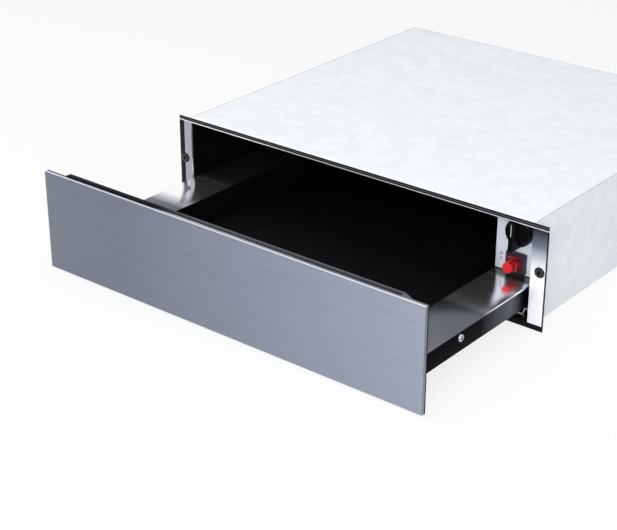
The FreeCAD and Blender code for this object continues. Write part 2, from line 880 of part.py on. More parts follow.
def build_rims():
    """The side rails with their front brackets and screws, and the latch striker."""
    skirt_inner = rim_outer - size.rim_sheet
    screw_y = front_face + size.skirt_screw_setback
    screw_z = size.rim_height - size.skirt_screw_drop
    bracket_top = size.rim_height - size.bracket_drop
    bracket_z = (bracket_top - size.bracket_height, bracket_top)
    head = (size.skirt_screw_head, size.skirt_screw_head_height)
    shank = (size.skirt_screw_shank, size.skirt_screw_length)
    hole_radius = size.skirt_screw_shank + size.fit_clearance
    screws = []
    for name, sign in SIDES.items():
        rail_path = [
            (sign * tub_half, size.rim_height),
            (sign * rim_outer, size.rim_height),
            (sign * rim_outer, size.rim_height - size.skirt_height),
        ]
        bracket_path = [
            (sign * (skirt_inner - size.bracket_foot), tub_front),
            (sign * skirt_inner, tub_front),
            (sign * skirt_inner, tub_front + size.bracket_reach),
        ]
        rail = bent_sheet("XZ_Plane", rail_path, size.rim_sheet, (tub_front, tub_back), -sign)
        bracket = bent_sheet("XY_Plane", bracket_path, size.bracket_sheet, bracket_z, sign)
        hole_span = [sign * end for end in past(skirt_inner - size.bracket_sheet, rim_outer)]
        for label, sheet in ((f"{name}_side_rail", rail), (f"{name}_front_bracket", bracket)):
            keep(label, cut(sheet, rod("x", (screw_y, screw_z), hole_radius, hole_span)))
        screws.append(screw("x", (sign * rim_outer, screw_y, screw_z), head, shank, sign))
    keep("skirt_screws", group(*screws))
    striker_y = (tub_back, tub_back + size.striker_thickness)
    striker = (size.striker_width, size.striker_height, striker_y)
    keep("latch_striker", panel_block(latch_x, size.latch_up, *striker))


# Control panel stations.
panel_front = size.panel_setback
panel_back = panel_front + size.sheet
panel_box_back = panel_back + size.panel_box_depth
thermostat_back = panel_back + size.thermostat_depth
switch_back = panel_front + size.switch_body_depth
knob_x = tub_half + size.knob_across
knob_z = rail_bottom - size.knob_gap - size.grip_length / 2
switch_x = tub_half + size.switch_across
switch_z = panel_floor + size.bezel_gap + size.bezel_height / 2
loom_x = inner_half - size.loom_side_gap
loom_z = roof - size.loom_drop
probe_x = knob_x - size.probe_offset
probe_z = roof - size.probe_drop
gland_x = inner_half - size.gland_inset
latch_x = -(tub_half - size.latch_inset)


def panel_block(centre_x, centre_z, width, height, y):
    """A block centred on a point of the X-Z plane."""
    across = (centre_x - width / 2, centre_x + width / 2)
    up = (centre_z - height / 2, centre_z + height / 2)
    return block(across, y, up)


def build_panel():
    """The control panel's face and the box behind it."""
    up = (panel_floor, roof)
    face_path = [
        (tub_half, panel_front),
        (inner_half, panel_front),
        (inner_half, panel_back + size.panel_tab),
    ]
    face = bent_sheet("XY_Plane", face_path, size.sheet, up)
    face_span = past(panel_front, panel_back)
    bush_hole = rod("y", (knob_x, knob_z), size.bush_radius + size.fit_clearance, face_span)
    opening = size.switch_body + 2 * size.fit_clearance
    switch_hole = panel_block(switch_x, switch_z, opening, opening, face_span)
    keep("control_plate", cut(face, bush_hole, switch_hole))
    tab_face = inner_half - size.sheet
    left_wall = block((tub_half, tub_half + size.sheet), (panel_back, panel_box_back), up)
    rear_wall = block((tub_half, tab_face), (panel_box_back - size.sheet, panel_box_back), up)
    floor_z = (panel_floor, panel_floor + size.sheet)
    floor = block((tub_half, tab_face), (panel_back, panel_box_back), floor_z)
    rear_span = past(panel_box_back - size.sheet, panel_box_back)
    loom_hole = rod("y", (loom_x, loom_z), size.loom_radius + size.wire_hole_clearance, rear_span)
    probe_radius = size.capillary_radius + size.wire_hole_clearance
    probe_hole = rod("y", (probe_x, probe_z), probe_radius, rear_span)
    keep("control_box", cut(fuse(left_wall, rear_wall, floor), loom_hole, probe_hole))


# The knob's stations, from the panel towards the user.
bush_front = panel_front - size.bush_length
shaft_back = panel_back + size.shaft_depth
disc_back = panel_front - size.knob_lift
disc_front = disc_back - size.knob_thickness
grip_front = disc_front - size.grip_depth
shaft_front = disc_front - size.shaft_bite


def build_thermostat():
    """The thermostat behind the panel, with its bush, terminal tags and shaft."""
    centre = (knob_x, knob_z)
    case_y = (panel_back, thermostat_back)
    case = panel_block(*centre, size.thermostat_width, size.thermostat_height, case_y)
    bush = rod("y", centre, size.bush_radius, (bush_front, panel_back + size.overrun))
    bore_radius = size.shaft_radius + size.fit_clearance
    bore = rod("y", centre, bore_radius, (bush_front - size.overrun, shaft_back + size.end_play))
    tag_y = (thermostat_back, thermostat_back + size.tag_length)
    tags = [
        panel_block(knob_x + step * size.tag_pitch, knob_z, size.tag_sheet, size.tag_height, tag_y)
        for step in (-1, 0, 1)
    ]
    keep("thermostat_body", cut(fuse(case, bush, *tags), bore))
    keep("thermostat_shaft", rod("y", centre, size.shaft_radius, (shaft_front, shaft_back)))


def build_knob():
    """The knob: a disc with a grip bar and a pointer nub, and the white line let into it."""
    radius = size.knob_radius
    edge = radius - size.knob_draft
    disc_outline = [
        (0, 0),
        (0, radius),
        (size.knob_chamfer - size.knob_thickness, edge),
        (-size.knob_thickness, edge - size.knob_chamfer),
        (-size.knob_thickness, 0),
    ]
    disc = turned("y", (knob_x, disc_back, knob_z), disc_outline)
    foot = size.grip_width / 2
    crown = foot - size.grip_draft
    grip_outline = [
        (knob_x - foot, disc_front + size.overrun),
        (knob_x - crown, grip_front + size.grip_edge),
        (knob_x - crown + size.grip_edge, grip_front),
        (knob_x + crown - size.grip_edge, grip_front),
        (knob_x + crown, grip_front + size.grip_edge),
        (knob_x + foot, disc_front + size.overrun),
    ]
    grip_top = knob_z + size.grip_length / 2
    grip = padded("XY_Plane", grip_outline, (knob_z - size.grip_length / 2, grip_top))
    nub = block(
        (knob_x - radius - size.nub_proud, knob_x - radius + size.nub_root),
        (disc_back - size.nub_size, disc_back),
        (knob_z - size.nub_size / 2, knob_z + size.nub_size / 2),
    )
    recess_radius = size.bush_radius + size.bush_gap
    recess_span = (bush_front - size.bush_end_gap, disc_back + size.overrun)
    recess = rod("y", (knob_x, knob_z), recess_radius, recess_span)
    socket_span = (shaft_front - size.end_play, disc_back)
    socket = rod("y", (knob_x, knob_z), size.shaft_radius + size.press_clearance, socket_span)
    pointer_x = (knob_x - size.pointer_width / 2, knob_x + size.pointer_width / 2)
    pointer_top = grip_top - size.pointer_gap
    pointer_z = (pointer_top - size.pointer_length, pointer_top)
    slot_back = grip_front + size.pointer_inlay
    slot = block(pointer_x, (grip_front - size.overrun, slot_back), pointer_z)
    keep("knob", cut(fuse(disc, grip, nub), recess, socket, slot))
    keep("knob_pointer", block(pointer_x, (grip_front, slot_back), pointer_z))


def build_switch():
    """The lit push switch: housing with its bezel, red collar, button and lamp."""
    centre = (switch_x, switch_z)
    bezel_front = panel_front - size.bezel_depth
    collar_front = bezel_front - size.collar_depth
    button_front = collar_front - size.button_proud
    bezel = panel_block(*centre, size.bezel_width, size.bezel_height, (bezel_front, panel_front))
    body = panel_block(*centre, size.switch_body, size.switch_body, (panel_front, switch_back))
    bore_radius = size.button_radius + size.fit_clearance
    bore_back = panel_front + size.switch_bore_depth
    bore = rod("y", centre, bore_radius, (bezel_front - size.overrun, bore_back))
    lamp_back = bore_back + size.lamp_length + size.end_play
    lamp_radius = size.lamp_radius + size.fit_clearance
    pocket = rod("y", centre, lamp_radius, (bore_back - size.overrun, lamp_back))
    keep("switch_housing", cut(fuse(bezel, body), bore, pocket))
    collar_y = (collar_front, bezel_front)
    collar = panel_block(*centre, size.collar_size, size.collar_size, collar_y)
    keep("switch_collar", cut(collar, rod("y", centre, bore_radius, past(*collar_y))))
    length = bore_back - size.button_rest_gap - size.button_travel - button_front
    radius = size.button_radius
    button_outline = [
        (0, 0),
        (0, radius - size.button_edge),
        (size.button_edge, radius),
        (length, radius),
        (length, 0),
    ]
    keep("power_button", turned("y", (switch_x, button_front, switch_z), button_outline))
    lamp_outline = [
        (0, 0),
        (0, size.lamp_radius),
        (size.lamp_nose - size.lamp_length, size.lamp_radius),
        (-size.lamp_length, size.lamp_radius - size.lamp_taper),
        (-size.lamp_length, 0),
    ]
    keep("switch_lamp", turned("y", (switch_x, lamp_back, switch_z), lamp_outline))


# Fan heater stations.
fan_box_half = size.fan_box_width / 2
fan_box_front = back_inner - size.fan_box_depth
motor_front = back_inner - size.motor_length
impeller_back = motor_front - size.impeller_gap
impeller_front = impeller_back - size.impeller_depth


def ring_of_holes(count, ring_radius, span):
    """Round holes on a circle about the fan's axis, through the cover's face."""
    holes = []
    for index in range(count):
        angle = 2 * math.pi * index / count
        centre = (ring_radius * math.cos(angle), size.fan_height + ring_radius * math.sin(angle))
        holes.append(rod("y", centre, size.intake_hole, span))
    return holes


def build_fan_cover():
    """The cover over the fan and element, with its intake holes and outlet slots."""
    half = fan_box_half
    path = [(-half, back_inner), (-half, fan_box_front), (half, fan_box_front), (half, back_inner)]
    cover = bent_sheet("XY_Plane", path, size.sheet, (size.sheet, roof))
    face_span = past(fan_box_front, fan_box_front + size.sheet)
    cutters = ring_of_holes(INNER_RING_HOLES, size.intake_inner_ring, face_span)
    cutters += ring_of_holes(OUTER_RING_HOLES, size.intake_outer_ring, face_span)
    outlet_x = half - size.outlet_margin - size.outlet_length / 2
    for sign in SIDES.values():
        for row in range(OUTLET_ROWS):
            z = size.fan_height + (row - (OUTLET_ROWS - 1) / 2) * size.outlet_pitch
            slot = panel_block(sign * outlet_x, z, size.outlet_length, size.outlet_width, face_span)
            cutters.append(slot)
    keep("fan_cover", cut(cover, *cutters))


def build_motor():
    """The fan's motor on the back wall."""
    radius = size.motor_radius
    bore = size.fan_shaft_radius + size.fit_clearance
    bore_end = size.fan_shaft_reach + size.end_play
    outline = [
        (-size.motor_boss_length, bore),
        (-size.motor_boss_length, size.motor_boss),
        (0, size.motor_boss),
        (0, radius - size.motor_edge),
        (size.motor_edge, radius),
        (size.motor_length, radius),
        (size.motor_length, 0),
        (bore_end, 0),
        (bore_end, bore),
    ]
    keep("fan_motor", turned("y", (0, motor_front, size.fan_height), outline))


def build_impeller():
    """The impeller: hub, disc and shaft in one turning, and a ring of blades."""
    wheel = new_body("Impeller")
    depth = size.impeller_depth
    shaft_end = size.impeller_gap + size.fan_shaft_reach
    outline = [
        (-depth, 0),
        (-depth, size.hub_radius),
        (-size.impeller_sheet, size.hub_radius),
        (-size.impeller_sheet, size.impeller_radius),
        (0, size.impeller_radius),
        (0, size.fan_shaft_radius),
        (shaft_end, size.fan_shaft_radius),
        (shaft_end, 0),
    ]
    sketch = polygon_sketch(wheel, "YZ_Plane", outline)
    disc = wheel.newObject("PartDesign::Revolution", "Disc")
    disc.Profile = sketch
    disc.ReferenceAxis = (sketch, ["H_Axis"])
    disc.Angle = 360
    half_sheet = size.blade_sheet / 2
    blade_rim = size.impeller_radius - size.blade_rim_gap
    blade_root = blade_rim - size.blade_chord
    blade_outline = [
        (-half_sheet, blade_root),
        (half_sheet, blade_root),
        (half_sheet + size.blade_sheet, blade_rim),
        (half_sheet, blade_rim),
    ]
    blade_sketch = polygon_sketch(wheel, "XZ_Plane", blade_outline)
    bind(blade_sketch, "AttachmentOffset.Base.z", size.impeller_sheet)
    blade = wheel.newObject("PartDesign::Pad", "Blade")
    blade.Profile = blade_sketch
    bind(blade, "Length", depth - size.impeller_sheet)
    pattern = wheel.newObject("PartDesign::PolarPattern", "Blades")
    pattern.Originals = [blade]
    pattern.Axis = (origin_part(wheel, "Y_Axis"), [""])
    pattern.Angle = 360
    bind(pattern, "Occurrences", size.blade_count)
    wheel.Tip = pattern
    place(wheel, {"y": impeller_back, "z": size.fan_height})
    keep("fan_impeller", wheel)


def build_element():
    """The ring element round the impeller, with two legs to the back wall."""
    ring_y = (impeller_front + impeller_back).value / 2
    radius = size.element_radius.value
    tube = size.element_tube.value
    leg_x = size.element_leg_span.value / 2
    gap = math.degrees(math.asin(leg_x / radius))
    leg_z = size.fan_height.value - math.sqrt(radius ** 2 - leg_x ** 2)
    centre = FreeCAD.Vector(0, ring_y, size.fan_height.value)
    up = FreeCAD.Vector(0, 0, 1)
    shape = Part.makeTorus(radius, tube, FreeCAD.Vector(), up, -180, 180, 360 - 2 * gap)
    turn = TO_AXIS["y"].multiply(FreeCAD.Rotation(up, 90 + gap))
    shape.Placement = FreeCAD.Placement(centre, turn)
    for sign in SIDES.values():
        elbow = FreeCAD.Vector(sign * leg_x, ring_y, leg_z)
        leg = Part.makeCylinder(tube, back_inner.value - ring_y, elbow, FreeCAD.Vector(0, 1, 0))
        shape = shape.fuse([Part.makeSphere(tube, elbow), leg])
    keep("heating_element", shaped(shape.removeSplitter()))


def build_cutout():
    """The thermal cut-out on the side of the fan cover."""
    radius = size.cutout_radius
    rim = size.cutout_cup + size.cutout_edge
    outline = [
        (0, 0),
        (0, radius),
        (-size.cutout_cup, radius),
        (-rim, radius - size.cutout_edge),
        (-rim, size.cutout_post),
        (-size.cutout_length, size.cutout_post),
        (-size.cutout_length, 0),
    ]
    spot = (-fan_box_half, back_inner - size.fan_box_depth / 2, size.fan_height + size.cutout_rise)
    keep("thermal_cutout", turned("x", spot, outline))


# Terminal block below the gland.
terminal_right = gland_x + size.terminal_shift
terminal_left = terminal_right - size.terminal_width
terminal_middle = terminal_left + size.terminal_width / 2
terminal_top = size.sheet + size.terminal_height


def build_mains_entry():
    """The cable gland in the back wall and the terminal block inside it."""
    thread = size.gland_thread
    flange = size.gland_flange
    nut_front = -size.sheet - size.gland_nut
    outline = [
        (-size.gland_inner, size.gland_bore),
        (-size.gland_inner, thread),
        (nut_front, thread),
        (nut_front, flange),
        (-size.sheet, flange),
        (-size.sheet, thread),
        (0, thread),
        (0, flange),
        (size.gland_shoulder, flange),
        (size.gland_outer, flange - size.gland_dome),
        (size.gland_outer, size.gland_bore),
    ]
    keep("cable_gland", turned("y", (gland_x, size.body_depth, size.gland_up), outline))
    body_z = (size.sheet, terminal_top)
    body = block((terminal_left, terminal_right), (terminal_front, terminal_back), body_z)
    well_y = terminal_back - size.well_setback
    well_span = (terminal_top - size.well_depth, terminal_top + size.overrun)
    wells = [
        rod("z", (terminal_middle + step * size.well_pitch, well_y), size.well_radius, well_span)
        for step in (-1, 0, 1)
    ]
    keep("terminal_block", cut(body, *wells))


# Stations of the wires and of the thermostat's bulb.
wire_y = terminal_front + size.loom_setback
wire_rise_z = terminal_top + size.loom_rise
loom_turn_y = wire_y - size.loom_turn
bulb_start = panel_box_back + size.bulb_setback


def build_loom():
    """The sleeve of wires to the control box and the fan's lead."""
    switch_lead_x = switch_x + size.loom_offset
    switch_lead_z = switch_z + size.loom_setback
    loom_route = [
        (terminal_middle, wire_y, terminal_top),
        (terminal_middle, wire_y, wire_rise_z),
        (loom_x, wire_y, loom_z - size.loom_climb),
        (loom_x, loom_turn_y, loom_z),
        (loom_x, panel_box_back - size.loom_entry, loom_z),
        (switch_lead_x, switch_back + size.loom_tail, switch_lead_z + size.loom_tail_rise),
        (switch_lead_x, switch_back, switch_lead_z),
    ]
    lead_x = terminal_left + size.lead_inset
    lead_route = [
        (lead_x, wire_y, terminal_top),
        (lead_x, wire_y, wire_rise_z),
        (lead_x - size.lead_turn, wire_y, wire_rise_z + size.lead_climb),
        (fan_box_half, wire_y, wire_rise_z + size.lead_climb),
    ]
    loom = tube_shape(loom_route, size.loom_radius, size.loom_bend)
    lead = tube_shape(lead_route, size.lead_radius, size.loom_bend)
    keep("wiring_loom", shaped(Part.Compound([loom, lead])))


def build_probe():
    """The thermostat's capillary tube and the bulb at its end, under the roof."""
    start_y = thermostat_back + size.capillary_start
    start_z = knob_z + size.capillary_rise
    route = [
        (probe_x, thermostat_back, start_z),
        (probe_x, start_y, start_z),
        (probe_x, start_y + size.capillary_climb, probe_z),
        (probe_x, bulb_start, probe_z),
    ]
    capillary = tube_shape(route, size.capillary_radius, size.loom_bend)
    spot = FreeCAD.Vector(probe_x.value, bulb_start.value, probe_z.value)
    along = FreeCAD.Vector(0, 1, 0)
    bulb = Part.makeCylinder(size.bulb_radius.value, size.bulb_length.value, spot, along)
    keep("temperature_probe", shaped(capillary.fuse(bulb).removeSplitter()))


def wire_clip(x, y, z, centre, radius):
    """A clip on a wall: a block round a wire that runs along Y."""
    along = (y - size.clip_width / 2, y + size.clip_width / 2)
    hole = rod("y", centre, radius + size.fit_clearance, past(*along))
    return cut(block(x, along, z), hole)


def build_clips():
    """The clips that hold the loom on the side wall and the bulb under the roof."""
    first = panel_box_back + size.clip_front
    last = loom_turn_y - size.clip_rear
    half = size.loom_radius + size.clip_wall
    clips = []
    for y in (first, (first + last) / 2, last):
        across = (loom_x - half, inner_half)
        up = (loom_z - half, loom_z + half)
        clips.append(wire_clip(across, y, up, (loom_x, loom_z), size.loom_radius))
    half = size.bulb_radius + size.clip_wall
    for y in (bulb_start + size.clip_inset, bulb_start + size.bulb_length - size.clip_inset):
        across = (probe_x - half, probe_x + half)
        up = (probe_z - half, roof)
        clips.append(wire_clip(across, y, up, (probe_x, probe_z), size.bulb_radius))
    keep("wiring_clips", group(*clips))


def spring_shape(start, length, radius, wire):
    """A helical spring along Y."""
    helix = Part.makeHelix(length / SPRING_TURNS, length, radius)
    ring = Part.Wire(Part.makeCircle(wire, FreeCAD.Vector(radius, 0, 0), FreeCAD.Vector(0, 1, 0)))
    coil = Part.Wire(helix).makePipeShell([ring], True, True)
    coil.Placement = FreeCAD.Placement(start, TO_AXIS["y"])
    return coil


def build_latch():
    """The push latch on the back wall: body, plunger and spring."""
    centre = (latch_x, size.latch_up)
    bore_back = back_inner - size.latch_end_wall
    body = panel_block(*centre, size.latch_width, size.latch_height, (latch_front, back_inner))
    bore_radius = size.plunger_radius + size.fit_clearance
    bore = rod("y", centre, bore_radius, (latch_front - size.overrun, bore_back))
    keep("latch_body", cut(body, bore))
    head_back = latch_front + size.plunger_guide
    head_length = size.plunger_reach + size.plunger_guide
    radius = size.plunger_radius
    outline = [
        (-head_length, 0),
        (-head_length, radius - size.plunger_edge),
        (size.plunger_edge - head_length, radius),
        (0, radius),
        (0, size.plunger_pin),
        (size.plunger_tail, size.plunger_pin),
        (size.plunger_tail, 0),
    ]
    keep("latch_plunger", turned("y", (latch_x, head_back, size.latch_up), outline))
    wire = size.spring_wire.value
    start_y = (head_back + size.plunger_travel + size.spring_gap).value
    length = bore_back.value - wire - start_y
    start = FreeCAD.Vector(latch_x.value, start_y, size.latch_up.value)
    keep("latch_spring", shaped(spring_shape(start, length, size.spring_radius.value, wire)))


build_housing()
build_frame()
build_front()
build_tub()
build_rims()
build_runners()
build_panel()
build_thermostat()
build_knob()
build_switch()
build_fan_cover()
build_motor()
build_impeller()
build_element()
build_cutout()
build_mains_entry()
build_loom()
build_probe()
build_clips()
build_latch()
doc.recompute()
check_state()
write_parts()
print(f"{len(pieces)} sub-parts written")
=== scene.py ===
"""A built-in warming drawer, pulled part of the way out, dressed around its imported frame."""
import logging
import math
from abc import ABC, abstractmethod
from collections.abc import Callable, Iterable, Mapping, Sequence
from dataclasses import dataclass, replace
from enum import Enum
from functools import cached_property

import bpy
from mathutils import Matrix, Vector


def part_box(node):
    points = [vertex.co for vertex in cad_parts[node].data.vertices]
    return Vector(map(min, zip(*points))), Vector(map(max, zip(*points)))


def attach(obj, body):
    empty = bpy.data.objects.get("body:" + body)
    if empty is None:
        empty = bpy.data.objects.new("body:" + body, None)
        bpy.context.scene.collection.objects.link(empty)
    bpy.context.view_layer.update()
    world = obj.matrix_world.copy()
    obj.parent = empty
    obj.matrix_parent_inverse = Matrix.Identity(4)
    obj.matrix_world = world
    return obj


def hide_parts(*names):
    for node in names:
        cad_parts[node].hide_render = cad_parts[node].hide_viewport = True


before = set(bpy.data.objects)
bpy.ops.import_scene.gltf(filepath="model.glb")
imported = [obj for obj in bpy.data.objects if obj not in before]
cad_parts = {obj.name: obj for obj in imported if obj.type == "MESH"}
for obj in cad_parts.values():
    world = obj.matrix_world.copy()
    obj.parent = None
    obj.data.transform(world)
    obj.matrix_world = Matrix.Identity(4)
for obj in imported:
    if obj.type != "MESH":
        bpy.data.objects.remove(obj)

log = logging.getLogger("warming_drawer")

# Pieces are modelled in millimetres and brought to metres when they are finished.
MM = 0.001
SIDES = {"left": -1, "right": 1}
# How near two places count as one, how near points are merged, how far a cutter reaches past
# what it cuts, and how far a piece that is fused on reaches into the other, in millimetres.
TINY = 0.02
MERGE = 0.002
PAST = 1.0
SUNK = 2.0
# The cosine past which a direction counts as along an axis.
MOSTLY = 0.9
# The angles in degrees past which an edge is softened, and past which it shades sharp.
SOFTENED = 40.0
SHARP = 35.0
# The value that noise lies about.
MIDDLE = 0.5

Colour = tuple[float, float, float]
Pair = tuple[float, float]
Triple = Sequence[float]
Test = Callable[[Vector, Vector], bool]


class Element(Enum):
    """What is picked in edit mode, as the three switches of the select mode."""

    POINTS = (True, False, False)
    EDGES = (False, True, False)
    FACES = (False, False, True)


class Grain(Enum):
    """The way that fine lines run over a sheet, as how far each axis is squeezed."""

    ALONG_X = (55.0, 1000.0, 1000.0)
    ALONG_Y = (900.0, 28.0, 900.0)
    ALONG_Z = (900.0, 900.0, 28.0)
    NONE = (420.0, 420.0, 420.0)


class Signal:
    """A node's output that takes part in plain arithmetic."""

    def __init__(self, paint: "Paint", socket: bpy.types.NodeSocket) -> None:
        """Keep the socket and the paint that it belongs to."""
        self.paint = paint
        self.socket = socket

    def __add__(self, other: "Signal | float") -> "Signal":
        """Both together."""
        return self.paint.math("ADD", self, other)

    __radd__ = __add__

    def __mul__(self, other: "Signal | float") -> "Signal":
        """One times the other."""
        return self.paint.math("MULTIPLY", self, other)

    __rmul__ = __mul__

    def __sub__(self, other: "Signal | float") -> "Signal":
        """This less the other."""
        return self.paint.math("SUBTRACT", self, other)

    def __rsub__(self, other: "Signal | float") -> "Signal":
        """The other less this."""
        return self.paint.math("SUBTRACT", other, self)


class Paint:
    """The nodes of a material or of the world, written as expressions that end in one shader."""

    def __init__(self, owner: bpy.types.Material | bpy.types.World) -> None:
        """Empty the owner's nodes and give it an output.

        Args:
            owner: the material or the world.
        """
        owner.use_nodes = True
        self.nodes = owner.node_tree.nodes
        self.links = owner.node_tree.links
        self.nodes.clear()
        kind = "World" if isinstance(owner, bpy.types.World) else "Material"
        self.output = self.nodes.new(f"ShaderNodeOutput{kind}")

    @cached_property
    def place(self) -> Signal:
        """The point on the piece, in metres."""
        return self.node("ShaderNodeTexCoord", output="Object")

    def node(
        self,
        kind: str,
        settings: Mapping[str, object] | None = None,
        inputs: Mapping[str | int, object] | None = None,
        output: str | int = 0,
    ) -> Signal:
        """Add a node.

        Args:
            kind: the node's type.
            settings: its own settings, set before its inputs.
            inputs: a value or a signal for each named or numbered socket.
            output: which output the expression goes on with.

        Returns:
            The chosen output.
        """
        made = self.nodes.new(kind)
        for name, setting in (settings or {}).items():
            setattr(made, name, setting)
        for key, value in (inputs or {}).items():
            if isinstance(value, Signal):
                self.links.new(value.socket, made.inputs[key])
            else:
                made.inputs[key].default_value = value
        return Signal(self, made.outputs[output])

    def math(self, operation: str, *values: Signal | float) -> Signal:
        """One Math node on values or signals."""
        return self.node("ShaderNodeMath", {"operation": operation}, dict(enumerate(values)))

    def axis(self, name: str) -> Signal:
        """The X, Y or Z of a point, in metres."""
        return self.node("ShaderNodeSeparateXYZ", inputs={"Vector": self.place}, output=name)

    def squeezed(self, scale: Triple) -> Signal:
        """The place with each axis multiplied, so that a pattern is drawn out along the others."""
        return self.node("ShaderNodeMapping", inputs={"Vector": self.place, "Scale": scale})

    def noise(self, vector: Signal, scale: float, detail: float = 2.0) -> Signal:
        """Soft noise about the middle value."""
        wanted = {"Vector": vector, "Scale": scale, "Detail": detail}
        return self.node("ShaderNodeTexNoise", inputs=wanted, output="Fac")

    def ramp(self, value: Signal, low: float, high: float) -> Signal:
        """A value brought from between two ends to between 0 and 1, and held there."""
        ends = {"Value": value, "From Min": low, "From Max": high}
        return self.node("ShaderNodeMapRange", {"clamp": True}, ends)

    def mix(self, share: Signal, first: Signal | Colour, second: Signal | Colour) -> Signal:
        """A colour between two, by a share.

        Args:
            share: 0 for the first colour and 1 for the second.
            first: a colour.
            second: another colour.

        Returns:
            The mixed colour.
        """
        start, end = (value if isinstance(value, Signal) else (*value, 1.0) for value in (first, second))
        settings = {"data_type": "RGBA", "clamp_factor": True}
        return self.node("ShaderNodeMix", settings, {0: share, 6: start, 7: end}, 2)

    def lit(self, colour: Signal | Colour, light: Signal) -> Signal:
        """A colour made lighter or darker by a factor."""
        return self.node("ShaderNodeVectorMath", {"operation": "SCALE"}, {0: colour, "Scale": light})

    def bump(self, height: Signal, depth: float) -> Signal:
        """A normal that follows a height pattern; depth is in millimetres."""
        return self.node("ShaderNodeBump", inputs={"Height": height, "Distance": depth * MM})

    def shader(self, **inputs: object) -> Signal:
        """A Principled shader; an input's name is written with underscores for its spaces."""
        named = {name.replace("_", " "): value for name, value in inputs.items()}
        return self.node("ShaderNodeBsdfPrincipled", inputs=named)

    def backdrop(self) -> Signal:
        """Find the rays that look at the surroundings.

        Returns:
            1 for a ray that the camera, a reflection or something clear sends out, and 0 for others.
        """
        rays = ("Is Camera Ray", "Is Glossy Ray", "Is Transmission Ray")
        seen = [self.node("ShaderNodeLightPath", output=ray) for ray in rays]
        return self.math("MAXIMUM", seen[0], self.math("MAXIMUM", seen[1], seen[2]))

    def done(self, surface: Signal) -> None:
        """Send the shader to the surface."""
        self.links.new(surface.socket, self.output.inputs["Surface"])


@dataclass(frozen=True)
class Stretch:
    """A way along an axis, in millimetres, over which something goes from nothing to whole."""

    axis: str
    start: float
    end: float

    def share(self, p: Paint) -> Signal:
        """How far along it a point is, from 0 to 1."""
        return p.ramp(p.axis(self.axis), self.start * MM, self.end * MM)


@dataclass(frozen=True)
class Zone(Stretch):
    """A stretch over which a surface changes its look, on its own or only within another."""

    tone: Colour
    roughness: float
    metallic: float = 0.0
    within: Stretch | None = None

    def share(self, p: Paint) -> Signal:
        """How much of the new look a point has."""
        whole = super().share(p)
        return whole * self.within.share(p) if self.within else whole


@dataclass(frozen=True)
class Finish(ABC):
    """What a surface is made of and how it is worked."""

    tone: Colour
    roughness: float
    metallic: float = 0.0
    specular: float = 0.5
    zones: tuple[Zone, ...] = ()
    relief: float = 0.01
    coat: float = 0.0
    glow: float = 0.0
    clear: float = 0.0

    @abstractmethod
    def work(self, p: Paint) -> tuple[Signal, Signal, Signal]:
        """How the surface is worked: a factor on its tone, what its roughness gains and its height."""

    def over(self, *zones: Zone) -> "Finish":
        """The same finish with zones laid over it, one after another."""
        return replace(self, zones=self.zones + zones)

    def zoned(self, p: Paint) -> tuple[Signal | Colour, Signal | float, Signal | float]:
        """Work the zones in.

        Args:
            p: the paint to add nodes to.

        Returns:
            The tone, roughness and metallic share.
        """
        tone, rough, metal = self.tone, self.roughness, self.metallic
        for zone in self.zones:
            share = zone.share(p)
            tone = p.mix(share, tone, zone.tone)
            rough = rough + share * (zone.roughness - rough)
            metal = metal + share * (zone.metallic - metal)
        return tone, rough, metal

    def paint(self, p: Paint) -> Signal:
        """Make the shader.

        Args:
            p: the paint to add nodes to.

        Returns:
            The shader.
        """
        tone, rough, metal = self.zoned(p)
        light, gain, height = self.work(p)
        tone = p.lit(tone, light)
        shining = {"Emission_Color": tone, "Emission_Strength": self.glow} if self.glow else {}
        return p.shader(
            Base_Color=tone,
            Roughness=rough + gain,
            Metallic=metal,
            Specular_IOR_Level=self.specular,
            Normal=p.bump(height, self.relief),
            Coat_Weight=self.coat,
            Transmission_Weight=self.clear,
            **shining,
        )


@dataclass(frozen=True)
class Steel(Finish):
    """Bare or plated sheet with a fine grain of lines and faint clouding."""

    metallic: float = 1.0
    grain: Grain = Grain.NONE
    streak: float = 0.05
    clouding: float = 0.08
    unevenness: float = 0.08
    line_detail: float = 3.0
    broad_squeeze: float = 0.2
    broad_share: float = 0.3
    line_ends: Pair = (0.3, 0.7)
    cloud_scale: float = 7.0
    cloud_gloss: float = 0.75

    def work(self, p: Paint) -> tuple[Signal, Signal, Signal]:
        """Draw lines that change tone, gloss and height together.

        Args:
            p: the paint to add nodes to.

        Returns:
            The factor on the tone, what the roughness gains and the height.
        """
        lines = p.noise(p.squeezed(self.grain.value), 1.0, self.line_detail)
        broad = p.noise(p.squeezed([squeeze * self.broad_squeeze for squeeze in self.grain.value]), 1.0)
        cloud = p.noise(p.place, self.cloud_scale)
        both = lines * (1 - self.broad_share) + broad * self.broad_share
        share = p.ramp(both, *self.line_ends) - MIDDLE
        light = 1.0 + share * (2 * self.streak) - cloud * self.clouding
        return light, (share + (cloud - MIDDLE) * self.cloud_gloss) * self.unevenness, lines


@dataclass(frozen=True)
class Moulded(Finish):
    """Moulded plastic, rubber, lacquer or glass with a fine grain and a little dust."""

    grain: float = 2600.0
    dust_scale: float = 45.0
    dust_detail: float = 4.0
    dust_ends: Pair = (0.35, 0.75)
    dust_tone: float = 0.18
    dust_gloss: float = 0.10

    def work(self, p: Paint) -> tuple[Signal, Signal, Signal]:
        """Lay a pebbled grain with a little dust in it and slow changes of gloss.

        Args:
            p: the paint to add nodes to.

        Returns:
            The factor on the tone, what the roughness gains and the height.
        """
        dust = p.noise(p.place, self.dust_scale, self.dust_detail)
        light = 1.0 + p.ramp(dust, *self.dust_ends) * self.dust_tone
        return light, (dust - MIDDLE) * self.dust_gloss, p.noise(p.place, self.grain, 1.0)


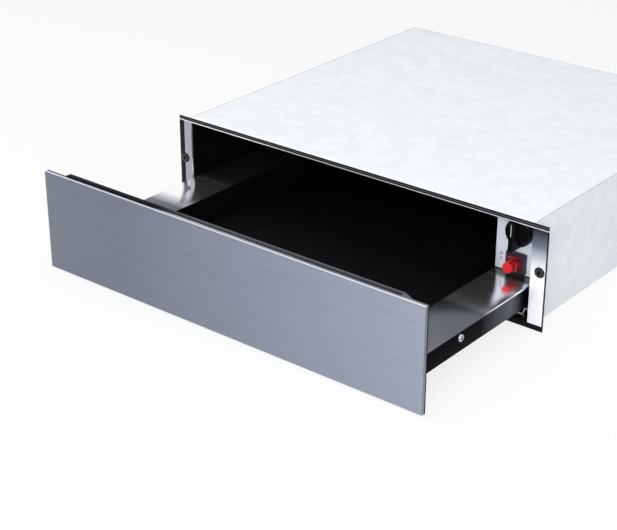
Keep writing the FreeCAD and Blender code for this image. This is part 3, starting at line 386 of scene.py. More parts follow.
@dataclass(frozen=True)
class Zinc(Finish):
    """Zinc-plated sheet with the faint crystals of its plating."""

    spangle: float = 60.0
    sparkle: float = 0.03
    facet_gloss: float = 0.08
    fine_scale: float = 900.0
    fine_detail: float = 3.0
    fine_tone: float = 0.06

    def work(self, p: Paint) -> tuple[Signal, Signal, Signal]:
        """Give each crystal its own lightness and gloss.

        Args:
            p: the paint to add nodes to.

        Returns:
            The factor on the tone, what the roughness gains and the height.
        """
        pattern = {"Vector": p.place, "Scale": self.spangle}
        crystals = p.node("ShaderNodeTexVoronoi", inputs=pattern, output="Color")
        facet = p.node("ShaderNodeSeparateColor", inputs={"Color": crystals}, output="Red") - MIDDLE
        fine = p.noise(p.place, self.fine_scale, self.fine_detail)
        light = 1.0 + facet * (2 * self.sparkle) + (fine - MIDDLE) * self.fine_tone
        return light, facet * self.facet_gloss, fine


# A bare tuple is a zone's look: its tone, its roughness and, where it has one, its metallic share.
BLACK = (0.004, 0.004, 0.005)
# Black for the inner side of the casing's sheets: painted shade, where the inside is dark.
CAVITY_SHADE_BLACK = (BLACK, 0.34)
CASING_ZINC = Zinc((0.84, 0.85, 0.86), 0.55, 0.06, specular=0.06)
PLATED = (CASING_ZINC.tone, CASING_ZINC.roughness, CASING_ZINC.metallic)
BRACKET_BARE = ((0.42, 0.43, 0.45), 0.35, 0.9)
FRONT_STEEL = Steel(
    (0.190, 0.210, 0.260), 0.38, 0.85, grain=Grain.ALONG_X, streak=0.08, clouding=0.04, relief=0.05
)
# Painted light: the front's steel turns lighter towards the right.
FRONT_LIGHT = ((0.330, 0.360, 0.440), 0.38, 0.85)
# A painted highlight on the front's top fold, and painted light on the back of its top return and on its
# side and bottom returns.
FOLD_LIGHT = ((0.86, 0.87, 0.90), 0.22, 0.9)
RETURN_PALE = ((0.27, 0.285, 0.33), 0.42, 0.35)
RETURN_LIGHT = ((0.20, 0.215, 0.26), 0.30, 0.9)
RAIL_STEEL = Steel(
    (0.185, 0.18, 0.178), 0.22, 0.9, specular=0.02, grain=Grain.ALONG_X, clouding=0.06, relief=0.06
)
# Painted reflections on the rail: blue-grey further back, a bright painted highlight across it, and painted
# shade inside the mouth.
RAIL_BLUE = ((0.125, 0.135, 0.162), 0.20, 0.9)
RAIL_HIGHLIGHT = ((0.97, 0.97, 1.0), 0.16, 0.98)
RAIL_SHADE = ((0.13, 0.125, 0.125), 0.22, 0.9)
# The skirt is painted black, standing for the dark that its steel reflects, with a painted sheen near the
# mouth.
SKIRT_BLACK = ((0.0015, 0.002, 0.003), 0.30)
SKIRT_SHEEN = ((0.105, 0.112, 0.130), 0.30)
FLANGE_STEEL = Steel(
    (0.95, 0.96, 0.98), 0.32, 0.12, specular=0.12, grain=Grain.ALONG_Z,
    streak=0.02, clouding=0.02, relief=0.001, unevenness=0.01,
)
# A painted reflection at the right flange's top: blue-grey, then dark.
FLANGE_BLUE = ((0.40, 0.47, 0.58), 0.30, 0.6)
FLANGE_DARK = ((0.055, 0.062, 0.090), 0.28, 0.6)
# A painted dark band along a flange's outer edge, wider on the left than on the right.
FLANGE_END = (BLACK, 0.4)
# The left flange's steel, darker and more metallic: a shaded copy of the flange steel.
FAR_FLANGE_STEEL = replace(FLANGE_STEEL, tone=(0.40, 0.405, 0.45), roughness=0.26, metallic=0.9)
PANEL_STEEL = Steel(
    (0.87, 0.91, 1.0), 0.36, 0.18, grain=Grain.ALONG_X, streak=0.04, clouding=0.04, relief=0.02
)
BRIGHT_STEEL = Steel((0.92, 0.92, 0.92), 0.14, 0.7, grain=Grain.ALONG_X, streak=0.03, relief=0.004)
ZINC_STEEL = Steel((0.46, 0.47, 0.47), 0.32, grain=Grain.ALONG_Y, streak=0.07, clouding=0.12)
SCREW_STEEL = Steel((0.42, 0.44, 0.48), 0.14, clouding=0.05, relief=0.003)
DARK_STEEL = Steel((0.050, 0.049, 0.049), 0.34, 0.6, streak=0.10, specular=0.2)
# Painted shade in the fixing screws' cross recesses and round the foot of each head.
SCREW_SHADE = ((0.012, 0.012, 0.012), 0.4, 0.3)
BALL_STEEL = Steel((0.75, 0.75, 0.77), 0.08, streak=0.02, relief=0.001)
ELEMENT_STEEL = Steel((0.14, 0.13, 0.12), 0.42, streak=0.18, clouding=0.25, relief=0.02)
MOTOR_STEEL = Steel((0.42, 0.42, 0.41), 0.38, grain=Grain.ALONG_Y, streak=0.08, clouding=0.10)
IMPELLER_STEEL = Steel((0.58, 0.58, 0.56), 0.30, streak=0.06)
PROBE_METAL = Steel((0.62, 0.38, 0.23), 0.28, grain=Grain.ALONG_Y, streak=0.08, clouding=0.12)
ENAMEL = Moulded(BLACK, 0.28, specular=0.08, grain=1800.0)
TRIM_BLACK = Moulded((0.005, 0.005, 0.006), 0.32, specular=0.07, grain=2200.0, relief=0.008)
TRIM_GREY = ((0.10, 0.10, 0.11), 0.4)
TRIM_DARK = (TRIM_BLACK.tone, TRIM_BLACK.roughness)
INNER_FRONT_BLACK = Moulded((0.005, 0.005, 0.008), 0.26, specular=0.006, grain=2200.0, relief=0.008)
# A painted sheen along the inner front's upper rim, painted shade across it, and a painted highlight at its
# right end.
INNER_RIM = ((0.105, 0.105, 0.116), 0.24, 0.05)
INNER_SHADE = ((0.007, 0.007, 0.010), 0.26)
INNER_END = ((0.11, 0.12, 0.15), 0.24, 0.05)
# A painted highlight along the backing's upper edge, pale and then grey.
BACKING_HIGHLIGHT = ((0.38, 0.39, 0.42), 0.45)
BACKING_SHEEN = ((0.14, 0.15, 0.175), 0.45)
SEAL_BLACK = Moulded(BLACK, 0.62, specular=0.15, grain=1500.0, relief=0.03)
CORE_BOARD = Moulded((0.34, 0.25, 0.16), 0.85, grain=700.0, relief=0.15)
MAT_RUBBER = Moulded(BLACK, 0.66, specular=0.05, grain=1500.0, relief=0.05)
CAGE_PLASTIC = Moulded((0.70, 0.69, 0.65), 0.45)
KNOB_BLACK = Moulded(BLACK, 0.24, specular=0.14, grain=3200.0, relief=0.006)
MARK_WHITE = Moulded((0.82, 0.82, 0.84), 0.5, relief=0.004)
MARK_GREY = Moulded((0.05, 0.05, 0.07), 0.5, relief=0.002)
SWITCH_BLACK = Moulded((0.022, 0.018, 0.030), 0.35, specular=0.3)
COLLAR_RED = Moulded((0.21, 0.005, 0.006), 0.16, relief=0.002, coat=0.3, glow=0.08, clear=0.25)
BUTTON_RED = Moulded((0.32, 0.005, 0.006), 0.22, specular=0.25, relief=0.002, coat=0.15, glow=0.08)
BUTTON_LIT = ((0.52, 0.006, 0.007), 0.4)
LAMP_GLASS = Moulded((0.95, 0.62, 0.40), 0.05, relief=0.001, clear=0.9)
CASE_BROWN = Moulded((0.10, 0.055, 0.035), 0.5)
TERMINAL_CREAM = Moulded((0.72, 0.68, 0.58), 0.5)
SLEEVE_GREY = Moulded((0.06, 0.06, 0.07), 0.6, grain=1200.0, relief=0.04)
CLIP_NYLON = Moulded((0.80, 0.79, 0.74), 0.42)
LATCH_GREY = Moulded((0.16, 0.17, 0.18), 0.45)


def casing(axis: str, edge: float, black_above: bool) -> Finish:
    """Bare zinc on one side of a sheet's middle, and black on the side above or below it, as painted shade
    for the dark inside the casing.
    """
    blend = TINY if black_above else -TINY
    return CASING_ZINC.over(Zone(axis, edge - blend, edge + blend, *CAVITY_SHADE_BLACK))


def stations(edge: float, steps: Pair, way: int = 1) -> Pair:
    """Where two steps from an edge end, up the axis or, with a way of -1, down it."""
    return edge + way * steps[0], edge + way * steps[1]


def towards(way: Vector, run: str) -> float:
    """How far a direction goes along an axis such as y, or one way along it, such as +y or -y."""
    share = getattr(way, run[-1])
    return {"+": share, "-": -share}.get(run[0], abs(share))


def where(run: str = "", **places: float) -> Test:
    """Make a test for what to pick.

    Args:
        run: the axis that an edge or a face's normal runs along, with + or - ahead for one way only.
        places: where its middle lies, in millimetres, on each axis that is named.

    Returns:
        The test. With no arguments it takes everything.
    """

    def wanted(spot: Vector, way: Vector) -> bool:
        """Whether a middle and its run or normal are as asked."""
        runs = not run or towards(way, run) > MOSTLY
        return runs and all(abs(getattr(spot, axis) - place) < TINY for axis, place in places.items())

    return wanted


def deselect() -> None:
    """Leave nothing selected, so that an operator acts on the new piece alone."""
    bpy.ops.object.select_all(action="DESELECT")


class Workpiece:
    """A mesh on the bench: started from a primitive, then worked on in edit mode.

    What works on a piece gives the piece back, so that one step can follow another.
    """

    def __init__(self, name: str) -> None:
        """Take the primitive that was just added.

        Args:
            name: the piece's name.
        """
        self.part = bpy.context.object
        self.part.name = name
        self.part.data.name = name
        self.element = Element.FACES

    def activate(self, *others: "Workpiece") -> None:
        """Make this the active piece, and select it with any others and nothing else.

        Args:
            others: the pieces to select with it.
        """
        deselect()
        for piece in (*others, self):
            piece.part.select_set(True)
        bpy.context.view_layer.objects.active = self.part

    def settle(self, matrix: Matrix) -> "Workpiece":
        """Put the piece somewhere and make that its mesh's own place.

        Args:
            matrix: where to.

        Returns:
            The piece itself.
        """
        self.part.matrix_world = matrix
        self.activate()
        bpy.ops.object.transform_apply(location=True, rotation=True, scale=True)
        return self

    @classmethod
    def block(cls, name: str, low: Triple, high: Triple) -> "Workpiece":
        """Make a block.

        Args:
            name: the piece's name.
            low: its lowest corner.
            high: its highest corner.

        Returns:
            The block.
        """
        deselect()
        bpy.ops.mesh.primitive_cube_add(size=1.0)
        low, high = Vector(low), Vector(high)
        middle = Matrix.Translation((low + high) / 2)
        return cls(name).settle(middle @ Matrix.Diagonal((*(high - low), 1.0)))

    @classmethod
    def strip(cls, name: str, line: Sequence[Triple], sweep: Triple) -> "Workpiece":
        """Make a strip of sheet with no thickness yet.

        Args:
            name: the piece's name.
            line: the corners that the strip follows.
            sweep: how far and which way it reaches from that line.

        Returns:
            The strip, with its normal on the side of run x sweep.
        """
        spots = [Vector(spot) for spot in line]
        sweep = Vector(sweep)
        run = spots[1] - spots[0]
        deselect()
        bpy.ops.mesh.primitive_plane_add(size=1.0)
        turn = Matrix((run, sweep, run.cross(sweep).normalized())).transposed().to_4x4()
        piece = cls(name).settle(Matrix.Translation((spots[0] + spots[1] + sweep) / 2) @ turn)
        for corner, end in zip(spots[1:], spots[2:]):
            middle = corner + sweep / 2
            piece.pick(Element.EDGES, lambda spot, way: (spot - middle).length < TINY)
            piece.extrude(end - corner)
        return piece

    @classmethod
    def turned(cls, name: str, turn: Matrix, outline: Sequence[Pair], sides: int = 48) -> "Workpiece":
        """Make a turned piece, drawn out of a disc step by step.

        Args:
            name: the piece's name.
            turn: where its axis starts and which way it points.
            outline: pairs of how far along the axis and how wide, from one end to the other.
            sides: how many flats make the circle.

        Returns:
            The closed piece.
        """
        (along, radius), *rest = outline
        deselect()
        bpy.ops.mesh.primitive_circle_add(vertices=sides, radius=radius, fill_type="NGON")
        piece = cls(name).settle(Matrix.Translation((0, 0, along))).pick(Element.FACES, where())
        for next_along, next_radius in rest:
            share = next_radius / radius
            piece.extrude((0, 0, next_along - along)).narrow((share, share, 1.0), (0, 0, next_along))
            along, radius = next_along, next_radius
        return piece.outward().settle(turn)

    def pick(self, element: Element, wanted: Test) -> "Workpiece":
        """Select what a test wants.

        Args:
            element: whether faces, edges or points are picked.
            wanted: told the middle, and the normal of a face or point or the run of an edge.

        Returns:
            The piece itself.
        """
        mesh = self.part.data
        for group in (mesh.vertices, mesh.edges, mesh.polygons):
            group.foreach_set("select", [False] * len(group))
        if element is Element.FACES:
            for face in mesh.polygons:
                face.select = wanted(face.center, face.normal)
        elif element is Element.EDGES:
            for edge in mesh.edges:
                start, end = (mesh.vertices[index].co for index in edge.vertices)
                edge.select = wanted((start + end) / 2, (end - start).normalized())
        else:
            for point in mesh.vertices:
                point.select = wanted(point.co, point.normal)
        self.element = element
        return self

    def edit(self, operator: Callable[..., object], **settings: object) -> "Workpiece":
        """Run one edit mode operator on what is picked.

        Args:
            operator: what to run.
            settings: what it is told.

        Returns:
            The piece itself.
        """
        self.activate()
        bpy.context.tool_settings.mesh_select_mode = self.element.value
        bpy.ops.object.mode_set(mode="EDIT")
        operator(**settings)
        bpy.ops.object.mode_set(mode="OBJECT")
        return self

    def extrude(self, shift: Triple) -> "Workpiece":
        """Draw out what is picked."""
        moved = {"value": tuple(shift)}
        return self.edit(bpy.ops.mesh.extrude_region_move, TRANSFORM_OT_translate=moved)

    def narrow(self, share: Triple, about: Triple) -> "Workpiece":
        """Scale what is picked about a point."""
        return self.edit(bpy.ops.transform.resize, value=share, center_override=about)

    def inset(self, width: float) -> "Workpiece":
        """Set a smaller face into what is picked."""
        return self.edit(bpy.ops.mesh.inset, thickness=width, use_even_offset=True)

    def shift(self, way: Triple) -> "Workpiece":
        """Move what is picked."""
        return self.edit(bpy.ops.transform.translate, value=way)

    def drop(self) -> "Workpiece":
        """Delete the faces that are picked."""
        return self.edit(bpy.ops.mesh.delete, type="FACE")

    def round(self, radius: float, wanted: Test, segments: int = 4) -> "Workpiece":
        """Round the edges that a test wants."""
        bevel = {"offset": radius, "segments": segments, "affect": "EDGES", "clamp_overlap": True}
        return self.pick(Element.EDGES, wanted).edit(bpy.ops.mesh.bevel, **bevel)

    def outward(self) -> "Workpiece":
        """Close up doubles and turn every face outwards.

        Returns:
            The piece itself.
        """
        self.pick(Element.FACES, where()).edit(bpy.ops.mesh.remove_doubles, threshold=MERGE)
        self.pick(Element.FACES, where())
        return self.edit(bpy.ops.mesh.normals_make_consistent, inside=False)

    def modify(self, kind: str, **settings: object) -> "Workpiece":
        """Add a modifier, set it and apply it.

        Args:
            kind: the modifier's type.
            settings: what it is set to.

        Returns:
            The piece itself.
        """
        self.activate()
        bpy.ops.object.modifier_add(type=kind)
        modifier = self.part.modifiers[-1]
        for name, setting in settings.items():
            setattr(modifier, name, setting)
        bpy.ops.object.modifier_apply(modifier=modifier.name)
        return self

    def thicken(self, wall: float, inward: bool = True) -> "Workpiece":
        """Give a strip or an open shell its wall, behind or in front of its faces."""
        return self.modify("SOLIDIFY", thickness=wall, offset=-1.0 if inward else 1.0)

    def soften(self, width: float) -> "Workpiece":
        """Take the sharpness off every edge past an angle."""
        limit = {"limit_method": "ANGLE", "angle_limit": math.radians(SOFTENED)}
        return self.modify("BEVEL", width=width, segments=2, **limit)

    def repeat(self, count: int, step: Triple) -> "Workpiece":
        """Set copies of the piece in a row."""
        spaced = {"use_relative_offset": False, "use_constant_offset": True}
        return self.modify("ARRAY", count=count, constant_offset_displace=step, **spaced)

    def join(self, other: "Workpiece") -> "Workpiece":
        """Take another piece into this one.

        Args:
            other: the other piece, which is used up.

        Returns:
            The piece itself.
        """
        self.activate(other)
        bpy.ops.object.join()
        return self

    def combine(self, other: "Workpiece", operation: str) -> "Workpiece":
        """Do one boolean operation.

        Args:
            other: the other piece, which is used up.
            operation: what to do with it.

        Returns:
            The piece itself.
        """
        self.modify("BOOLEAN", object=other.part, operation=operation, solver="EXACT")
        bpy.data.objects.remove(other.part)
        return self

    def cut(self, other: "Workpiece") -> "Workpiece":
        """Cut another piece away."""
        return self.combine(other, "DIFFERENCE")

    def fuse(self, other: "Workpiece") -> "Workpiece":
        """Fuse another piece on."""
        return self.combine(other, "UNION")


MATERIALS: dict[Finish, bpy.types.Material] = {}


def material(finish: Finish, name: str) -> bpy.types.Material:
    """Find a finish's material, or make it the first time that it is asked for.

    Args:
        finish: the finish.
        name: the name for a new material.

    Returns:
        The material.
    """
    if finish not in MATERIALS:
        MATERIALS[finish] = bpy.data.materials.new(name)
        paint = Paint(MATERIALS[finish])
        paint.done(finish.paint(paint))
    return MATERIALS[finish]


def clothe(mesh: bpy.types.Mesh, finish: Finish, slot: str) -> None:
    """Give a mesh one finish and no other."""
    mesh.materials.clear()
    mesh.materials.append(material(finish, slot))


def span(node: str) -> tuple[Vector, Vector]:
    """A node's lowest and highest corners, in millimetres."""
    low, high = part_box(node)
    return low / MM, high / MM


def edges_across(node: str, sign: int) -> Pair:
    """A node's inner and outer X on one side of the drawer."""
    low, high = span(node)
    return (low.x, high.x) if sign > 0 else (high.x, low.x)


def pointing(axis: str, spot: Triple, way: int = 1) -> Matrix:
    """Turn a piece that was made along Z.

    Args:
        axis: the axis that it goes along, x or y.
        spot: where it starts.
        way: 1 to go up that axis and -1 to go down it.

    Returns:
        The matrix for its place.
    """
    about, angle = {"x": ("Y", 90.0), "y": ("X", -90.0)}[axis]
    if way < 0:
        angle += 180.0
    return Matrix.Translation(spot) @ Matrix.Rotation(math.radians(angle), 4, about)


class Assembly(ABC):
    """Pieces that belong together, with the body that they ride on."""

    body = "housing"

    @abstractmethod
    def build(self) -> None:
        """Model and dress the pieces."""

    def fit(self, piece: Workpiece, finish: Finish, slot: str, *nodes: str, body: str = "") -> None:
        """Finish a piece and put it in the frame.

        Args:
            piece: the modelled piece, in millimetres.
            finish: what its surface is.
            slot: the record's material slot.
            nodes: the nodes that it stands for.
            body: the body that it rides on, if not this assembly's own.
        """
        piece.settle(Matrix.Scale(MM, 4))
        clothe(piece.part.data, finish, slot)
        bpy.ops.object.shade_smooth_by_angle(angle=math.radians(SHARP))
        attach(piece.part, body or self.body)
        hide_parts(*nodes)
        log.info("%s: %d faces", piece.part.name, len(piece.part.data.polygons))

    def dress(self, finish: Finish, slot: str, *nodes: str) -> None:
        """Give nodes that stay as they are a finish.

        Args:
            finish: what their surface is.
            slot: the record's material slot.
            nodes: the nodes.
        """
        for node in nodes:
            clothe(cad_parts[node].data, finish, slot)
            log.info("%s: dressed", node)


@dataclass(frozen=True)
class ScrewHead:
    """A domed screw with a cross recess."""

    radius: float
    height: float
    shank: float
    length: float
    slot_width: float = 0.22
    slot_length: float = 0.52
    slot_depth: float = 0.6
    tip: float = 0.4
    # The dome, as shares of the height and of the radius.
    dome: tuple[Pair, ...] = ((0.0, 0.97), (0.1, 1.0), (0.45, 0.97), (0.72, 0.84), (0.92, 0.62), (1.0, 0.34))

    def make(self, name: str, turn: Matrix) -> Workpiece:
        """Turn the screw and cut its recess.

        Args:
            name: the piece's name.
            turn: where its shoulder sits, with the head ahead of it.

        Returns:
            The screw.
        """
        shank = [(-self.length, self.shank * self.tip), (self.shank - self.length, self.shank)]
        head = [(self.height * up, self.radius * out) for up, out in self.dome]
        outline = [*shank, (0.0, self.shank), *head]
        screw = Workpiece.turned(name, Matrix.Identity(4), outline, sides=32)
        reach = self.radius * self.slot_length
        half = self.radius * self.slot_width / 2
        floor = self.height * (1 - self.slot_depth)
        for across, along in ((reach, half), (half, reach)):
            screw.cut(Workpiece.block("slot", (-across, -along, floor), (across, along, 2 * self.height)))
        return screw.settle(turn)

    def pair(self, name: str, node: str, axis: str, way: int = 1) -> Workpiece:
        """Make the screw on both sides of the drawer, as one piece.

        Args:
            name: the piece's name.
            node: the node of both screws.
            axis: the axis that they point along; along x, they point away from each other.
            way: which way they point along y.

        Returns:
            The two screws.
        """
        low, high = span(node)
        spot = (low + high) / 2
        spot.x = high.x - (self.height if axis == "x" else self.radius)
        if axis == "y":
            spot.y = high.y - self.height if way > 0 else low.y + self.height
        left, right = (
            self.make(name, pointing(axis, (sign * spot.x, *spot.yz), sign if axis == "x" else way))
            for sign in SIDES.values()
        )
        return left.join(right)


FRONT_SCREW = ScrewHead(radius=4.5, height=2.0, shank=1.8, length=7.9)
SKIRT_SCREW = ScrewHead(radius=5.0, height=2.6, shank=2.0, length=5.0)
FIXING_SCREW = ScrewHead(
    radius=7.0, height=2.2, shank=2.0, length=15.5, slot_width=0.24, slot_length=0.44, slot_depth=0.92
)


@dataclass
class DrawerFront(Assembly):
    """The drawer's front: a folded steel skin, its backing and the black inner front."""

    body = "drawer"
    sheet: float = 1.0
    fold: float = 0.9
    corner: float = 0.8
    skin_edge: float = 0.12
    inner_sheet: float = 1.2
    chamfer: float = 4.8
    edge: float = 0.6
    inner_edge: float = 0.15
    rise: float = 2.0
    # Where the painted light, highlights, sheen and shade change: steps from an edge of the piece, or places
    # across the drawer.
    dark_width: float = 140.0
    fold_light: Pair = (0.35, 0.75)
    fold_pale: Pair = (2.2, 2.6)
    side_light: Pair = (0.4, 0.2)
    backing_top: Pair = (0.6, 0.3)
    # Where the painted highlight along the backing's upper edge starts, and where it turns grey.
    bare: Pair = (-110.0, -70.0)
    bare_end: Pair = (-50.0, 160.0)
    # Where the painted sheen, shade and highlight on the inner front's rim lie.
    rim_top: Pair = (1.4, 0.7)
    rim: Pair = (-105.0, -45.0)
    rim_shade: Pair = (1.5, 0.7)
    chamfer_top: Pair = (1.2, 0.0)
    chamfer_end: Pair = (10.56, 9.12)

    def build(self) -> None:
        """Model the skin and the inner front and dress what is between them."""
        self.fit(self.skin(), self.face_steel(), "brushed_front_steel", "front_skin")
        self.fit(self.inner(), self.inner_black(), "black_enamel", "inner_front")
        self.dress(self.backing_black(), "seal_black", "front_backing")
        self.dress(CORE_BOARD, "core_board", "front_core")
        screws = FRONT_SCREW.pair("front_screw_pair", "front_screws", "y")
        self.fit(screws, SCREW_STEEL, "screw_bright", "front_screws")

    def face_steel(self) -> Finish:
        """Lay out the skin's steel.

        Returns:
            Steel with painted light that makes it lighter towards the right, a painted highlight where it is
            folded back, and painted light on its returns.
        """
        low, high = span("front_skin")
        return FRONT_STEEL.over(
            # Painted light across the front, lighter towards the right.
            Zone("X", low.x + self.dark_width, high.x, *FRONT_LIGHT),
            # A painted highlight along the top fold, then painted light on the top return's back and on the
            # side and bottom returns.
            Zone("Y", *stations(low.y, self.fold_light), *FOLD_LIGHT),
            Zone("Y", *stations(low.y, self.fold_pale), *RETURN_PALE),
            Zone("X", *stations(high.x, self.side_light, -1), *RETURN_LIGHT),
            Zone("X", *stations(low.x, self.side_light), *RETURN_LIGHT),
            Zone("Z", *stations(low.z, self.side_light), *RETURN_LIGHT),
        )

    def backing_black(self) -> Finish:
        """Lay out the backing's black.

        Returns:
            Black with a painted highlight along the upper edge but for its left end, pale at first and
            turning grey towards the right.
        """
        edge = Stretch("Z", *stations(span("front_backing")[1].z, self.backing_top, -1))
        return SEAL_BLACK.over(
            # A painted highlight along the upper edge, pale and then grey towards the right.
            Zone("X", *self.bare, *BACKING_HIGHLIGHT, within=edge),
            Zone("X", *self.bare_end, *BACKING_SHEEN, within=edge),
        )

    def inner_box(self) -> tuple[Vector, Vector]:
        """The inner front's corners: it stands a little above the skin."""
        low, high = span("inner_front")
        return low, high + Vector((0, 0, self.rise))

    def inner_black(self) -> Finish:
        """Lay out the inner front's enamel.

        Returns:
            Enamel with a painted sheen along its upper rim that grows towards the right, painted shade
            across the rim, and a painted highlight at its right end.
        """
        low, high = self.inner_box()
        rim = Stretch("Z", *stations(high.z, self.rim_top, -1))
        chamfer = Stretch("Z", *stations(high.z - self.chamfer, self.chamfer_top, -1))
        behind, ahead = self.rim_shade
        # A painted sheen along the rim, painted shade across it and a painted highlight at the right end.
        return INNER_FRONT_BLACK.over(
            Zone("X", *self.rim, *INNER_RIM, within=rim),
            Zone("Y", high.y - behind, low.y - ahead, *INNER_SHADE, within=rim),
            Zone("X", *stations(high.x, self.chamfer_end, -1), *INNER_END, within=chamfer),
        )

    def skin(self) -> Workpiece:
        """Fold a pan of sheet steel.

        Returns:
            The pan, open at the back, with its corners and folds rounded.
        """
        low, high = span("front_skin")
        pan = Workpiece.block("front_panel_skin", low, high)
        pan.round(self.corner, where("y"), segments=3)
        pan.pick(Element.FACES, where("+y")).inset(self.sheet)
        pan.extrude((0, low.y + self.sheet - high.y, 0))
        return pan.round(self.fold, where(y=low.y)).soften(self.skin_edge)

    def inner(self) -> Workpiece:
        """Fold the black inner front.

        Returns:
            A pan, open towards the skin, with its upper corners cut off.
        """
        low, high = self.inner_box()
        pan = Workpiece.block("inner_front_panel", low, high)
        pan.round(self.chamfer, where("y", z=high.z), segments=1)
        for sign in SIDES.values():
            pan.pick(Element.POINTS, where(x=sign * (high.x - self.chamfer)))
            pan.shift((-sign * self.chamfer, 0, 0))
        pan.pick(Element.FACES, where("-y")).inset(self.inner_sheet)
        pan.extrude((0, high.y - low.y - self.inner_sheet, 0))
        return pan.round(self.edge, where(y=high.y), segments=3).soften(self.inner_edge)


@dataclass
class Tub(Assembly):
    """The drawer's black tub, its studded mat and the side rails that make its rim."""

    body = "drawer"
    wall: float = 1.0
    corner: float = 3.0
    tub_edge: float = 0.2
    mat_corner: float = 4.0
    mat_edge: float = 0.3
    margin: float = 6.0
    stud_pitch: float = 8.0
    stud_radius: float = 1.7
    stud_height: float = 0.6
    stud_root: float = 0.2
    # A stud's sides, as shares of its height and of its radius.
    stud_sides: tuple[Pair, Pair] = ((0.6, 0.85), (1.0, 0.55))
    rail_sheet: float = 1.0
    rail_bend: float = 1.4
    rail_edge: float = 0.15
    # Where a rail's painted reflections, highlight, shade and sheen lie: places along the drawer, and steps
    # down from its top.
    blue: Pair = (-225.0, -150.0)
    bright_streak: Pair = (-94.0, -64.0)
    shade: Pair = (0.0, 9.0)
    skirt_top: Pair = (1.0, 2.0)
    sheen: Pair = (-100.0, -38.0)
    sheen_end: Pair = (-34.0, -12.0)

    def build(self) -> None:
        """Model the tub, the mat, the rails and their screws."""
        self.fit(self.pan(), ENAMEL, "black_enamel", "drawer_tub")
        self.fit(self.mat(), MAT_RUBBER, "mat_rubber", "non_slip_mat")
        for name, sign in SIDES.items():
            self.fit(self.rail(name, sign), self.rail_steel(), "satin_steel", f"{name}_side_rail")
            self.dress(ZINC_STEEL, "zinc_steel", f"{name}_front_bracket")
        screws = SKIRT_SCREW.pair("skirt_screw_pair", "skirt_screws", "x")
        self.fit(screws, SCREW_STEEL, "screw_bright", "skirt_screws")
        self.dress(ZINC_STEEL, "zinc_steel", "latch_striker")

    def rail_steel(self) -> Finish:
        """Lay out a rail's steel.

        Returns:
            Steel that is satin at the front, with painted reflections further back: blue-grey, then a bright
            painted highlight, then painted shade inside the mouth; its skirt is painted black as a dark
            reflection, with a painted sheen near the mouth.
        """
        skirt = stations(span("right_side_rail")[1].z, self.skirt_top, -1)
        within = Stretch("Z", *skirt)
        return RAIL_STEEL.over(
            # Painted reflections: blue-grey, then a bright painted highlight, then painted shade inside the
            # mouth.
            Zone("Y", *self.blue, *RAIL_BLUE),
            Zone("Y", *self.bright_streak, *RAIL_HIGHLIGHT),
            Zone("Y", *self.shade, *RAIL_SHADE),
            # The skirt painted black as a dark reflection, with a painted sheen near the mouth that fades
            # back to black.
            Zone("Z", *skirt, *SKIRT_BLACK),
            Zone("Y", *self.sheen, *SKIRT_SHEEN, within=within),
            Zone("Y", *self.sheen_end, *SKIRT_BLACK, within=within),
        )

    def pan(self) -> Workpiece:
        """Make the tub.

        Returns:
            An open pan with rounded corners.
        """
        low, high = span("drawer_tub")
        pan = Workpiece.block("tub_pan", low, high)
        pan.pick(Element.FACES, where("+z")).drop()
        pan.round(self.corner, lambda spot, way: spot.z < high.z - TINY)
        return pan.thicken(self.wall).soften(self.tub_edge)

    def mat(self) -> Workpiece:
        """Make the mat.

        Returns:
            A rubber mat with rows of low studs.
        """
        low, high = span("non_slip_mat")
        top = high.z - self.stud_height
        mat = Workpiece.block("studded_mat", low, (high.x, high.y, top))
        mat.round(self.mat_corner, where("z")).soften(self.mat_edge)
        room = high - low - Vector((self.margin, self.margin, 0)) * 2
        columns, rows = (int(length / self.stud_pitch) + 1 for length in room.xy)
        start = (low + high - Vector((columns - 1, rows - 1, 0)) * self.stud_pitch) / 2
        sides = ((self.stud_height * up, self.stud_radius * out) for up, out in self.stud_sides)
        outline = [(-self.stud_root, self.stud_radius), *sides]
        stud = Workpiece.turned("stud", Matrix.Translation((*start.xy, top)), outline, sides=8)
        stud.repeat(columns, (self.stud_pitch, 0, 0)).repeat(rows, (0, self.stud_pitch, 0))
        return mat.join(stud)

    def rail(self, name: str, sign: int) -> Workpiece:
        """Bend a side rail.

        Args:
            name: its side.
            sign: its side as -1 or 1.

        Returns:
            The rail: flat on top, then bent down into the skirt.
        """
        low, high = span(f"{name}_side_rail")
        inner, outer = edges_across(f"{name}_side_rail", sign)
        line = [(inner, low.y, high.z), (outer, low.y, high.z), (outer, low.y, low.z)]
        rail = Workpiece.strip(f"rail_{name}", line, (0, high.y - low.y, 0))
        rail.round(self.rail_bend, where(x=outer, z=high.z))
        return rail.thicken(self.rail_sheet, inward=sign > 0).outward().soften(self.rail_edge)


